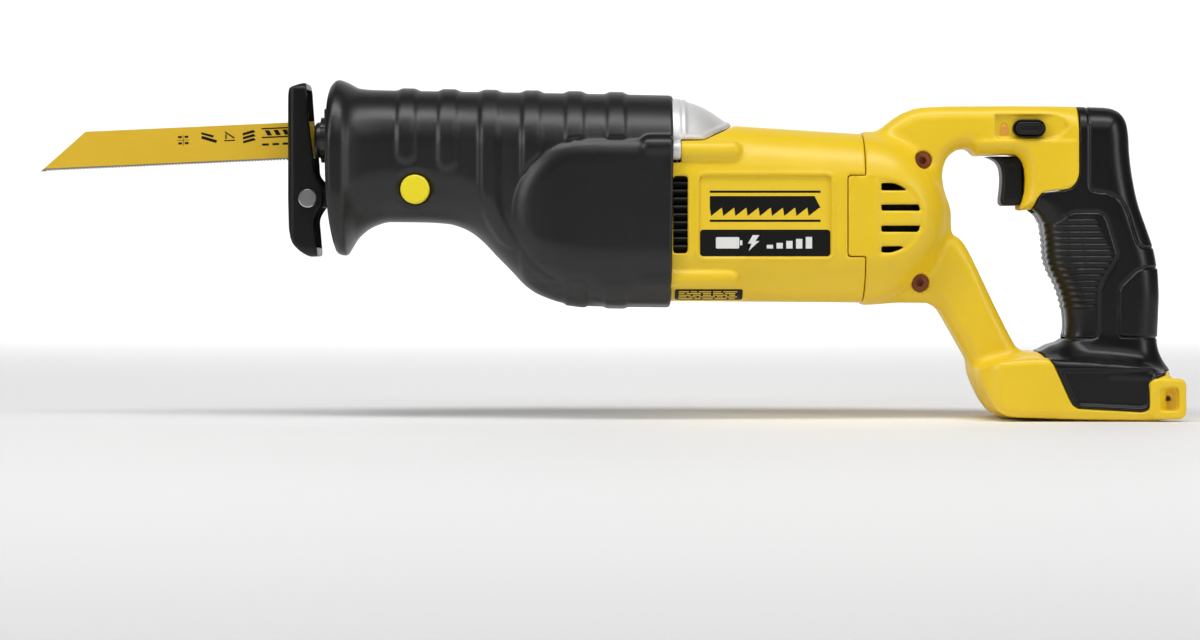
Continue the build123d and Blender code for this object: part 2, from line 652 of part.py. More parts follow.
with BuildPart() as motor_housing:
    add(housing_form(0, housing_front_x, seam_x))
    for boss_y, boss_z in case_bosses:
        rod_x(housing_front_x, housing_boss_end, boss_r, boss_z, boss_y)
    add(housing_form(housing_wall, housing_front_x - 1, seam_x + 1), mode=Mode.SUBTRACT)
    for boss_y, boss_z in case_bosses:
        rod_x(housing_front_x, housing_boss_end - 1, case_screw_r + 2, boss_z, boss_y)
        rod_x(housing_front_x - 1, housing_boss_end + 1, case_screw_r + 0.3, boss_z, boss_y, Mode.SUBTRACT)
        rod_x(housing_boss_end - case_screw_head - 0.6, housing_boss_end + 1, case_screw_head_r + 0.2,
              boss_z, boss_y, Mode.SUBTRACT)
    add(dome_form(fit_gap), mode=Mode.SUBTRACT)
    for side_sign in (-1, 1):
        outer = side_sign * (housing_half + 5)
        for x0, x1, inner, z0, z1 in (
            (label_front_x, label_rear_x, label_floor_y, label_low_z, label_high_z),
            (grille_front_x, grille_rear_x, housing_half - 8, grille_low_z, grille_high_z),
            (tab_front_x, seam_x + 1, housing_half - 8, tab_low_z, tab_high_z),
        ):
            y0, y1 = sorted((side_sign * inner, outer))
            block(x0, x1, y0, y1, z0, z1, Mode.SUBTRACT)
write(motor_housing.part, "motor_housing")

label_thickness = 0.8
for side_sign, side_name in ((-1, "left"), (1, "right")):
    with BuildPart() as label:
        y0, y1 = sorted((side_sign * label_floor_y, side_sign * (label_floor_y + label_thickness)))
        block(label_front_x + 0.1, label_rear_x - 0.1, y0, y1, label_low_z + 0.1, label_high_z - 0.1)
        fillet(label.edges().filter_by(Axis.Y), 2.0)
    write(label.part, f"label_{side_name}")

    with BuildPart() as grille:
        add(housing_form(0.2, grille_front_x + 0.1, grille_rear_x - 0.1))
        add(housing_form(2.4, grille_front_x - 1, grille_rear_x + 1), mode=Mode.SUBTRACT)
        y0, y1 = sorted((side_sign * (housing_half - 8), side_sign * (housing_half + 5)))
        block(grille_front_x, grille_rear_x, y0, y1, grille_low_z + 0.1, grille_high_z - 0.1, Mode.INTERSECT)
        slot_pitch = (grille_high_z - grille_low_z) / grille_slots
        for slot in range(grille_slots):
            slot_z = grille_low_z + (slot + 0.5) * slot_pitch
            block(grille_front_x + 1.2, grille_rear_x - 1.2, -60, 60, slot_z - slot_pitch * 0.28,
                  slot_z + slot_pitch * 0.28, Mode.SUBTRACT)
    write(grille.part, f"vent_grille_{side_name}")

with BuildPart() as case_screws:
    for boss_y, boss_z in case_bosses:
        head_x = housing_boss_end - case_screw_head - 0.5
        rod_x(case_boss_x + 4, head_x, case_screw_r, boss_z, boss_y)
        rod_x(head_x, head_x + case_screw_head, case_screw_head_r, boss_z, boss_y)
write(case_screws.part, "case_screws")

# ======================= motor =======================
front_race = ball_race(cover_x - 0.5, motor_bearing_width, motor_bearing_r, shaft_r + running_gap, 9)
write(front_race, "front_bearing")
rear_race = ball_race(end_plate_x + 1, tail_bearing_width, tail_bearing_r, tail_r + running_gap, 8)
write(rear_race, "rear_bearing")

pinion_front_x = crank_x + (cone_distance - face_width) * cos(pinion_angle)
pinion_back = cone_distance * cos(pinion_angle) + 1.2
with BuildPart() as rotor_shaft:
    rod_x(pinion_front_x + 0.4, crank_x + pinion_back + 0.3, pinion_bore_r, motor_z)
    rod_x(crank_x + pinion_back + 0.3, tail_x, shaft_r, motor_z)
    rod_x(tail_x, end_plate_x + tail_bearing_width + 2, tail_r, motor_z)
    chamfer(rotor_shaft.faces().sort_by(Axis.X)[-1].edges(), 0.5)
write(rotor_shaft.part, "rotor_shaft")

half_pitch = 180 / pinion_teeth
pinion = pinion_place * bevel_gear(pinion_teeth, pinion_angle, pinion_back, pinion_bore_r, half_pitch)
write(pinion, "pinion")

with BuildPart() as fan:
    rod_x(fan_front_x, fan_front_x + fan_width, shaft_r + 4, motor_z)
    rod_x(fan_front_x + fan_width - 1.5, fan_front_x + fan_width, fan_r, motor_z)
    for blade_number in range(fan_blades):
        turn = 360 * blade_number / fan_blades
        with Locations(Location((fan_front_x + fan_width / 2, 0, motor_z), (turn, 0, 0))):
            with Locations((0, 0, (fan_r + shaft_r + 9) / 2)):
                Box(fan_width - 0.5, 1.2, fan_r - shaft_r - 9.5)
    rod_x(fan_front_x - 1, fan_front_x + fan_width + 1, shaft_r, motor_z, mode=Mode.SUBTRACT)
write(fan.part, "cooling_fan")

write(ring_x(can_front_x, can_front_x + can_length, can_r, can_r - can_wall, motor_z), "motor_can")
magnet_r = can_r - can_wall
with BuildPart() as magnets:
    rod_x(can_front_x + 6, can_front_x + can_length - 6, magnet_r, motor_z)
    rod_x(can_front_x, can_front_x + can_length, magnet_r - magnet_thickness, motor_z, mode=Mode.SUBTRACT)
    block(can_front_x, can_front_x + can_length, -60, 60, motor_z - 7, motor_z + 7, Mode.SUBTRACT)
write(magnets.part, "motor_magnets")

core_front_x, core_rear_x = can_front_x + 8, can_front_x + can_length - 8
with BuildPart() as armature_core:
    rod_x(core_front_x, core_rear_x, core_r, motor_z)
    with Locations(Location(((core_front_x + core_rear_x) / 2, 0, motor_z), (0, 90, 0))):
        with PolarLocations(core_r - slot_depth / 2, armature_slots):
            Box(slot_depth, slot_width, core_rear_x - core_front_x + 2, mode=Mode.SUBTRACT)
        with PolarLocations(core_r, armature_slots):
            Box(3, 1.6, core_rear_x - core_front_x + 2, mode=Mode.SUBTRACT)
    rod_x(core_front_x - 1, core_rear_x + 1, shaft_r, motor_z, mode=Mode.SUBTRACT)
write(armature_core.part, "armature_core")

with BuildPart() as windings:
    wire_gap = 0.1
    for end_x in (core_front_x - 6, core_rear_x + wire_gap):
        rod_x(end_x, end_x + 6 - wire_gap, core_r - 1.5, motor_z)
        rod_x(end_x - 1, end_x + 7, shaft_r + 2, motor_z, mode=Mode.SUBTRACT)
    with Locations(Location(((core_front_x + core_rear_x) / 2, 0, motor_z), (0, 90, 0))):
        with PolarLocations(core_r - slot_depth / 2 - 0.6, armature_slots):
            Box(slot_depth - 2 * wire_gap - 1.2, slot_width - 2 * wire_gap, core_rear_x - core_front_x + 4)
write(windings.part, "windings")

with BuildPart() as commutator:
    rod_x(commutator_x, commutator_x + commutator_length, commutator_r, motor_z)
    rod_x(commutator_x, commutator_x + 1.5, commutator_r + 2, motor_z)
    rod_x(commutator_x - 1, commutator_x + 20, shaft_r, motor_z, mode=Mode.SUBTRACT)
    with Locations(Location((commutator_x + commutator_length / 2 + 1, 0, motor_z), (0, 90, 0))):
        with PolarLocations(commutator_r, commutator_bars):
            Box(1.6, 0.5, commutator_length + 1, mode=Mode.SUBTRACT)
write(commutator.part, "commutator")

brush_x = commutator_x + commutator_length / 2 + 0.8
brush_width, brush_height, brush_length = 5.0, 7.0, 13.0
with BuildPart() as brushes:
    for side_sign in (-1, 1):
        y0 = side_sign * (commutator_r + running_gap)
        y1 = side_sign * (commutator_r + brush_length)
        block(brush_x - brush_width / 2, brush_x + brush_width / 2, min(y0, y1), max(y0, y1),
              motor_z - brush_height / 2, motor_z + brush_height / 2)
write(brushes.part, "brushes")

brush_plate_x = commutator_x + commutator_length + 0.4
brush_plate_end = end_plate_x - 0.2
with BuildPart() as brush_holder:
    rod_x(brush_plate_x, brush_plate_end, can_r, motor_z)
    for side_sign in (-1, 1):
        y0 = side_sign * (commutator_r + 2.6)
        y1 = side_sign * (commutator_r + brush_length + 3)
        block(brush_x - brush_width / 2 - 1.4, brush_plate_x + 0.1, min(y0, y1), max(y0, y1),
              motor_z - brush_height / 2 - 1.5, motor_z + brush_height / 2 + 1.5)
        slot_y = side_sign * commutator_r
        block(brush_x - brush_width / 2 - 0.1, brush_x + brush_width / 2 + 0.1, slot_y - 14, slot_y + 14,
              motor_z - brush_height / 2 - 0.1, motor_z + brush_height / 2 + 0.1, Mode.SUBTRACT)
    rod_x(brush_plate_x - 1, brush_plate_end + 1, shaft_r + 2.5, motor_z, mode=Mode.SUBTRACT)
write(brush_holder.part, "brush_holder")

with BuildPart() as rear_bracket:
    add(housing_form(housing_wall + fit_gap, end_plate_x, end_plate_x + end_plate_length))
    rod_x(end_plate_x - 1, end_plate_x + 1, tail_r + 3, motor_z, mode=Mode.SUBTRACT)
    rod_x(end_plate_x + 1, end_plate_x + 20, tail_bearing_r + 0.02, motor_z, mode=Mode.SUBTRACT)
    with Locations(Location((end_plate_x + end_plate_length / 2, 0, motor_z), (0, 90, 0))):
        with PolarLocations(air_hole_ring_r, air_holes):
            Cylinder(air_hole_r, 30, mode=Mode.SUBTRACT)
    for side_sign in (-1, 1):
        y0, y1 = sorted((side_sign * (housing_half - 9), side_sign * (housing_half + 2)))
        block(tab_front_x - 1, seam_x + 1, y0, y1, tab_low_z - 1, tab_high_z + 1, Mode.SUBTRACT)
write(rear_bracket.part, "rear_bearing_bracket")

# ======================= handle =======================
handle_front_x = seam_x + fit_gap
arch = [
    (handle_front_x, 57.9), (handle_front_x, 141.9), (133.5, 143.2), (144.5, 151.5), (155, 155),
    (169.5, 156.1), (grip_split_x, bar_top_z),
]
bar_lower = [
    (grip_split_x, 119.3), (230.5, 114.2), (215.8, 112.6), (213.3, 109.8), (210.7, 104.3), (206, 104.3),
    (207.5, 108.5), (209.5, 119.3), (207.5, 127.6), (203.7, 131.6), (187, 131.5), (183.4, 131.7),
    (180.6, 134.5), (174, 134), (169.1, 130), (166.7, 121), (166.9, 115.5), (170.3, 106.5), (171.2, 93.5),
    (175.9, 89.8), (180.3, 83), (191.5, 59.6), (202.7, 37.3), (207.1, 32.9), (214.5, 32.3),
]
strut = [
    (222, 1), (200.4, 1.4), (196, 2.2), (191.5, 5), (187, 11.7), (182, 21.7), (180.3, 28.4), (166.9, 51.8),
    (163, 56.3), (158, 57.7),
]
frame_outline = arch + bar_lower + strut
grip_front = [
    (216, 33.4), (220.5, 36.2), (225, 36.8), (228.3, 40.7), (228.8, 46.3), (227.8, 57.4), (225, 66.3),
    (220.5, 74.2), (218.8, 82), (218, 92), (216, 100.9), (211.5, 104.2), (213.3, 109.8), (215.8, 112.6),
    (230.5, 114.2), (grip_split_x, 119.3),
]
grip_rear = [
    (grip_split_x, bar_top_z), (250.6, 155.4), (256.2, 152.8), (259.5, 147.8), (260.5, 141.1), (260.9, 132.2),
    (262.4, 121), (265.2, 107.6), (269.6, 95.4), (273, 86.4), (275, 75), (275.9, 63), (275.4, 51.8),
    (274.6, 39.6),
]
grip_outline = grip_rear + [(274.6, foot_top_z), (216, foot_top_z)] + grip_front
core_bridge = [(226, 122), (246, 122), (246, 153), (226, 153)]
core_foot = [(222, foot_top_z - 12), (266, foot_top_z - 12), (266, foot_top_z + 12), (232, foot_top_z + 12)]
lug_front_x = foot_rear_x - lug_length
foot_outline = [
    (200, 1.2), (lug_front_x, 0), (lug_front_x, 22), (263, foot_top_z), (222, foot_top_z),
    (212, foot_top_z - 1), (196, 10), (193, 5),
]
inlay_outline = [
    (216, foot_top_z), (219, 25), (227.3, 9.4), (230.4, 6), (263.5, 4.6), (267.2, 7.5), (267.8, foot_top_z),
]


def prism(points, y0, y1, inset=0, mode=Mode.ADD):
    """A side outline, taken in by inset, as a solid between y0 and y1."""
    with BuildSketch(Plane.XZ.offset(-y1), mode=Mode.PRIVATE) as outline:
        Polygon(*points, align=None)
        if inset:
            offset(amount=-inset, kind=Kind.INTERSECTION)
    extrude(outline.sketch, amount=y1 - y0, mode=mode)


def dome_end(inset):
    """The end of the motor housing as a ball cut flat at both sides and in front."""
    with BuildPart() as ball:
        with Locations((dome_x, 0, motor_z)):
            Sphere(dome_r - inset)
        half = housing_half - inset
        block(handle_front_x, dome_x + dome_r + 1, -half, half, motor_z - dome_r, motor_z + dome_r,
              Mode.INTERSECT)
    return ball.part


def handle_form(inset):
    """Frame, dome end, grip core and foot together, taken in by inset."""
    half = handle_half - inset
    core_half = grip_half - overmould - inset
    with BuildPart() as form:
        prism(frame_outline, -half, half, inset)
        prism(grip_outline, -core_half, core_half, overmould + inset)
        prism(core_bridge, -core_half, core_half, inset)
        prism(core_foot, -core_half, core_half, inset)
        prism(foot_outline, -foot_half + inset, foot_half - inset, inset)
        add(dome_end(inset))
    return form.part


vent_slots = [(114.0, 3.4), (103.7, 2.9), (93.4, 2.9), (83.2, 2.9)]  # lower edge and height of each slot
vent_front_x, vent_rear_x = 134.5, 151.0
trigger_rear_x = 207.0
slot_half_y = trigger_half + slide_gap
handle_outer = handle_form(0)
with BuildPart() as handle_shell:
    add(handle_outer)
    for side_sign in (-1, 1):
        with BuildPart(mode=Mode.PRIVATE) as tab:
            add(housing_form(0, tab_front_x + fit_gap, handle_front_x))
            add(housing_form(shell_wall, tab_front_x, handle_front_x + 1), mode=Mode.SUBTRACT)
            y0, y1 = sorted((side_sign * 25, side_sign * 60))
            block(tab_front_x, handle_front_x, y0, y1, tab_low_z + fit_gap, tab_high_z - fit_gap,
                  Mode.INTERSECT)
        add(tab.part)
    add(handle_form(shell_wall), mode=Mode.SUBTRACT)
    for slot_z, slot_height in vent_slots:
        for side_sign in (-1, 1):
            y0, y1 = sorted((side_sign * (housing_half - 15), side_sign * (housing_half + 1)))
            block(vent_front_x, vent_rear_x, y0, y1, slot_z, slot_z + slot_height, Mode.SUBTRACT)
    block(185, trigger_rear_x + trigger_travel + slide_gap, -slot_half_y, slot_half_y, 104, 131.5 + slide_gap,
          Mode.SUBTRACT)
    rod_x(trigger_rear_x, switch_front_x + 1, trigger_stem_r + slide_gap, trigger_stem_z, mode=Mode.SUBTRACT)
    block(switch_front_x - fit_gap, switch_rear_x + fit_gap, -switch_half - fit_gap, switch_half + fit_gap,
          switch_low_z - fit_gap, switch_high_z + fit_gap, Mode.SUBTRACT)
    block(switch_rear_x, switch_rear_x + switch_pin + 1, -switch_half + 1, switch_half - 1,
          switch_low_z + 8, switch_high_z - 2, Mode.SUBTRACT)
    with BuildSketch(Plane.XZ):
        with Locations((lock_x, lock_z)):
            SlotOverall(lock_length + 2 * slide_gap, lock_height + 2 * slide_gap)
    extrude(amount=40, both=True, mode=Mode.SUBTRACT)
    block(bay_front_x - 2, lug_front_x - 2, -bay_half - 1, bay_half + 1, 3, bay_height + 2)
    block(bay_front_x, foot_rear_x + 1, -bay_half, bay_half, -1, bay_height, Mode.SUBTRACT)
    for side_sign in (-1, 1):
        with Locations((lead_x, side_sign * lead_y, bay_height)):
            Cylinder(lead_r + fit_gap, 10, mode=Mode.SUBTRACT)
    for side_sign in (-1, 1):
        y0, y1 = sorted((side_sign * (bay_half - rail_reach), side_sign * (foot_half - 1)))
        block(bay_front_x, lug_front_x, y0, y1, 2, 2 + rail_height)
        y0, y1 = sorted((side_sign * bay_half, side_sign * foot_half))
        block(bay_front_x, foot_rear_x, y0, y1, 1, 21)
        y0, y1 = sorted((side_sign * (foot_half - inlay_depth), side_sign * (foot_half + 5)))
        prism(inlay_outline, y0, y1, mode=Mode.SUBTRACT)
    for screw_number, (screw_x, screw_z) in enumerate(shell_screws):
        seat_half = foot_half if screw_number == 2 else handle_half
        if screw_number < 2:
            rod_y(-seat_half + 1, seat_half - 1, screw_boss_r, screw_x, screw_z)
        rod_y(-seat_half - 30, -seat_half + shell_screw_head + 0.4, shell_screw_head_r + slide_gap,
              screw_x, screw_z, Mode.SUBTRACT)
        rod_y(-seat_half, -seat_half + shell_screw_length + 1, shell_screw_r + running_gap,
              screw_x, screw_z, Mode.SUBTRACT)

beyond = 400  # past everything
for side_sign, side_name in ((-1, "left"), (1, "right")):
    with BuildPart() as handle_half_shell:
        add(handle_shell.part)
        y0, y1 = sorted((side_sign * parting_gap, side_sign * beyond))
        block(0, beyond, y0, y1, -10, beyond, Mode.INTERSECT)
    write(handle_half_shell.part, f"handle_shell_{side_name}")

# ======================= grip overmould =======================
shoulder_top_z = foot_top_z + 2.4
for side_sign, side_name in ((-1, "left"), (1, "right")):
    with BuildPart() as grip:
        y0, y1 = sorted((side_sign * parting_gap, side_sign * grip_half))
        prism(grip_outline, y0, y1)
        y0, y1 = sorted((side_sign * parting_gap, side_sign * (foot_half + inlay_stand)))
        block(218, 264, y0, y1, foot_top_z, shoulder_top_z)
        y0, y1 = sorted((side_sign * (foot_half - inlay_depth), side_sign * (foot_half + inlay_stand)))
        prism(inlay_outline, y0, y1)
        add(handle_shell.part, mode=Mode.SUBTRACT)
        add(handle_outer, mode=Mode.SUBTRACT)
    write(grip.part, f"grip_{side_name}")

# ======================= trigger, lock and switch =======================
trigger_front = [
    (187.8, 131.1), (193.7, 129.4), (196.5, 125.5), (197, 121), (196.5, 111), (196.2, 107.6), (198.1, 106.2),
    (205.2, 106.7), (trigger_rear_x, 109), (trigger_rear_x, 131.1),
]
stem_end_x = switch_front_x + 2
with BuildPart() as trigger:
    prism(trigger_front, -trigger_half, trigger_half)
    fillet(trigger.edges().filter_by(Axis.Z, tolerance=12).group_by(Axis.X)[0], 1.0)
    rod_x(trigger_rear_x - 1, stem_end_x, trigger_stem_r, trigger_stem_z)
write(trigger.part, "trigger")

spring_front_x = trigger_rear_x + 0.1
trigger_spring_plane = Plane(origin=(spring_front_x, 0, trigger_stem_z), x_dir=(0, 1, 0), z_dir=(1, 0, 0))
trigger_spring_place = trigger_spring_plane.location
trigger_spring = trigger_spring_place * coil_spring(switch_front_x - spring_front_x - 0.1, 3.6, 0.35, 1.3)
write(trigger_spring, "trigger_spring")

with BuildPart() as switch_body:
    block(switch_front_x, switch_rear_x, -switch_half, switch_half, switch_low_z, switch_high_z)
    chamfer(switch_body.edges().filter_by(Axis.Y), 1.0)
    rod_x(switch_front_x - 1, stem_end_x + trigger_travel + 0.5, trigger_stem_r + running_gap, trigger_stem_z,
          mode=Mode.SUBTRACT)
    for pin_y in (-4.5, 4.5):
        block(switch_rear_x - 1, switch_rear_x + switch_pin, pin_y - 0.4, pin_y + 0.4,
              switch_low_z + 9, switch_low_z + 15)
write(switch_body.part, "switch_body")

with BuildPart() as lock_button:
    with BuildSketch(Plane.XZ.offset(handle_half + lock_stand + lock_travel)):
        with Locations((lock_x, lock_z)):
            SlotOverall(lock_length, lock_height)
    extrude(amount=-(2 * handle_half + 2 * lock_stand + lock_travel))
    chamfer(lock_button.faces().sort_by(Axis.Y)[0].edges(), 0.6)
    chamfer(lock_button.faces().sort_by(Axis.Y)[-1].edges(), 0.6)
write(lock_button.part, "lock_button")

# ======================= battery terminals =======================
with BuildPart() as terminal_block:
    block(bay_front_x + fit_gap, bay_front_x + terminal_depth, -terminal_half, terminal_half,
          bay_height - terminal_drop, bay_height - 0.2)
    for blade_y in terminal_y:
        block(bay_front_x, bay_front_x + 20, blade_y - 0.5, blade_y + 0.5, bay_height - terminal_drop + 1.5,
              bay_height - 3.5, Mode.SUBTRACT)
write(terminal_block.part, "terminal_block")

with BuildPart() as terminal_blades:
    for blade_y in terminal_y:
        block(bay_front_x + 2, bay_front_x + 26, blade_y - 0.4, blade_y + 0.4,
              bay_height - terminal_drop + 1.6, bay_height - 3.6)
write(terminal_blades.part, "terminal_blades")

# ======================= screws of the handle =======================
with BuildPart() as handle_screws:
    for screw_number, (screw_x, screw_z) in enumerate(shell_screws):
        seat_y = -(foot_half if screw_number == 2 else handle_half) + shell_screw_head + 0.4
        length = 5 if screw_number == 2 else shell_screw_length - 4
        rod_y(seat_y - shell_screw_head, seat_y, shell_screw_head_r, screw_x, screw_z)
        rod_y(seat_y, seat_y + length, shell_screw_r, screw_x, screw_z)
        with BuildSketch(Plane.XZ.offset(shell_screw_head - seat_y)):
            with Locations((screw_x, screw_z)):
                RegularPolygon(socket_r, 6)
        extrude(amount=-socket_depth, mode=Mode.SUBTRACT)
write(handle_screws.part, "handle_screws")

# ======================= leads inside the handle =======================
for lead_name, side_y in (("positive_lead", lead_y), ("negative_lead", -lead_y)):
    route = [
        (switch_rear_x + switch_pin + 0.2, side_y, switch_low_z + 12), (249, side_y, switch_low_z + 12),
        (256, side_y, 98), (262, side_y, 70), (258, side_y, 46), (244, side_y, 27), (lead_x, side_y, 25),
        (lead_x, side_y, bay_height - 3.4),
    ]
    with BuildPart() as lead:
        with BuildLine() as path:
            FilletPolyline(*route, radius=[6, 12, 20, 14, 9, 6])
        with BuildSketch(Plane(origin=path.line @ 0, z_dir=path.line % 0)):
            Circle(lead_r)
        sweep()
    write(lead.part, lead_name)
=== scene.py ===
import json
import math

import bmesh
import bpy
import numpy as np
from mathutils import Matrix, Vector

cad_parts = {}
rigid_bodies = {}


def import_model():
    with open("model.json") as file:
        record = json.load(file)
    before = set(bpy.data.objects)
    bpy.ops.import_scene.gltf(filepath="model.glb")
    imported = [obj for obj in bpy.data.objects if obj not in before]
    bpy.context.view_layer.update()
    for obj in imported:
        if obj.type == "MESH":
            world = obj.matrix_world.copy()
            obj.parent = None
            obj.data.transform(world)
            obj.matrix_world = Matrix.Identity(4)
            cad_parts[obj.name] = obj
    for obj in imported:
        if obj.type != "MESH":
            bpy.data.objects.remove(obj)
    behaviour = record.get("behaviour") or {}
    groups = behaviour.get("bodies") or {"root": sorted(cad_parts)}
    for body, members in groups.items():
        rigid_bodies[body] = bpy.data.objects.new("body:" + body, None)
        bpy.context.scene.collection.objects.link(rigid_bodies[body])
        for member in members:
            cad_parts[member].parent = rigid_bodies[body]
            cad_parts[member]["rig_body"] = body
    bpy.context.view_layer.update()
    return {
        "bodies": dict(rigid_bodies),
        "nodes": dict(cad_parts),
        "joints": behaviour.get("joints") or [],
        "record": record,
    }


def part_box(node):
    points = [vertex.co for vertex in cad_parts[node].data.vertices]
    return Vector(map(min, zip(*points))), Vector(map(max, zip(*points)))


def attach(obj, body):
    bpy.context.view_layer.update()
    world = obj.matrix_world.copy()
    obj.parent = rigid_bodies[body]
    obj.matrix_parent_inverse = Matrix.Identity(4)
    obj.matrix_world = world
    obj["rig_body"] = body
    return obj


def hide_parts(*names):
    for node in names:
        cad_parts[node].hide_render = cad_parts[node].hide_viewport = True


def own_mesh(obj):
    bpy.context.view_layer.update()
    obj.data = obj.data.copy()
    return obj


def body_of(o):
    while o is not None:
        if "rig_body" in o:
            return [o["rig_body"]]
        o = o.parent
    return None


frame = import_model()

mm = 0.001
cellScale = 1.0
scene = bpy.context.scene
sides = ((-1, "Left"), (1, "Right"))


# shapes are distance fields in millimetres, negative inside
def smoothUnion(a, b, k):
    h = np.maximum(k - np.abs(a - b), 0) / k
    return np.minimum(a, b) - h * h * k * 0.25


def smoothMeet(a, b, k):
    return -smoothUnion(-a, -b, k)


def smoothCut(a, b, k):
    return -smoothUnion(-a, b, k)


def ramp(start, end, value):  # 0 before start, 1 after end, smooth between; start may be the larger
    t = np.clip((value - start) / (end - start), 0, 1)
    return t * t * (3 - 2 * t)


def along(x, points):  # a smooth line through (x, value) points
    xs = np.array([p[0] for p in points], float)
    ys = np.array([p[1] for p in points], float)
    slopes = np.diff(ys) / np.diff(xs)
    tangents = np.zeros(len(xs))
    tangents[0], tangents[-1] = slopes[0], slopes[-1]
    rising = slopes[1:] * slopes[:-1] > 0
    tangents[1:-1] = np.where(rising, 2 * slopes[1:] * slopes[:-1] / (slopes[1:] + slopes[:-1] + 1e-12), 0)
    flat = np.clip(x, xs[0], xs[-1])
    i = np.clip(np.searchsorted(xs, flat, side="right") - 1, 0, len(xs) - 2)
    step = xs[i + 1] - xs[i]
    t = (flat - xs[i]) / step
    return ((2 * t**3 - 3 * t**2 + 1) * ys[i] + (t**3 - 2 * t**2 + t) * step * tangents[i]
            + (3 * t**2 - 2 * t**3) * ys[i + 1] + (t**3 - t**2) * step * tangents[i + 1])


def bend(points, steps=5):  # an open smooth run through the points
    p = np.array([points[0], *points, points[-1]], float)
    out = []
    for i in range(1, len(p) - 2):
        for t in np.linspace(0, 1, steps, endpoint=False):
            a = 2 * p[i] + (p[i + 1] - p[i - 1]) * t
            b = (2 * p[i - 1] - 5 * p[i] + 4 * p[i + 1] - p[i + 2]) * t * t
            c = (3 * p[i] - p[i - 1] - 3 * p[i + 1] + p[i + 2]) * t**3
            out.append(tuple((a + b + c) / 2))
    return out + [tuple(points[-1])]


def outlineDistance(x, z, points):  # distance to a closed outline, negative inside
    nearest, sign = None, 1.0
    for i in range(len(points)):
        ax, az = points[i]
        ex, ez = points[i - 1][0] - ax, points[i - 1][1] - az
        length = ex * ex + ez * ez
        if length < 1e-9:
            continue
        wx, wz = x - ax, z - az
        t = np.clip((wx * ex + wz * ez) / length, 0, 1)
        d = (wx - ex * t) ** 2 + (wz - ez * t) ** 2
        nearest = d if nearest is None else np.minimum(nearest, d)
        above, below, left = z >= az, z < points[i - 1][1], ex * wz > ez * wx
        sign = np.where((above & below & left) | (~above & ~below & ~left), -sign, sign)
    return sign * np.sqrt(nearest)


def lineDistance(x, z, points):  # distance to an open line
    nearest = None
    for (ax, az), (bx, bz) in zip(points, points[1:]):
        ex, ez = bx - ax, bz - az
        t = np.clip(((x - ax) * ex + (z - az) * ez) / (ex * ex + ez * ez), 0, 1)
        d = (x - ax - ex * t) ** 2 + (z - az - ez * t) ** 2
        nearest = d if nearest is None else np.minimum(nearest, d)
    return np.sqrt(nearest)


def roundRect(u, v, halfU, halfV, radius):
    qu, qv = np.abs(u) - halfU + radius, np.abs(v) - halfV + radius
    return np.minimum(np.maximum(qu, qv), 0) + np.hypot(np.maximum(qu, 0), np.maximum(qv, 0)) - radius


def slab(flatDistance, across, radius):  # an outline given a thickness, with rounded edges
    qu, qv = flatDistance + radius, across + radius
    return np.minimum(np.maximum(qu, qv), 0) + np.hypot(np.maximum(qu, 0), np.maximum(qv, 0)) - radius


def capsuleX(x, y, z, x0, x1, cy, cz, radius):
    dx = x - np.clip(x, x0, x1)
    return np.sqrt(dx * dx + (y - cy) ** 2 + (z - cz) ** 2) - radius


def boxField(x, y, z, low, high):
    c = [(a + b) / 2 for a, b in zip(low, high)]
    h = [(b - a) / 2 for a, b in zip(low, high)]
    return np.maximum(np.maximum(np.abs(x - c[0]) - h[0], np.abs(y - c[1]) - h[1]), np.abs(z - c[2]) - h[2])


# a skin is a closed mesh made from a distance field
def readGrid(values, origin, cell, points):
    p = (points - origin) / cell
    base = np.clip(np.floor(p).astype(int), 0, np.array(values.shape) - 2)
    f = p - base
    out = np.zeros(len(points))
    for corner in range(8):
        step = np.array([corner >> 2 & 1, corner >> 1 & 1, corner & 1])
        weight = np.prod(np.where(step, f, 1 - f), axis=1)
        at = base + step
        out += weight * values[at[:, 0], at[:, 1], at[:, 2]]
    return out


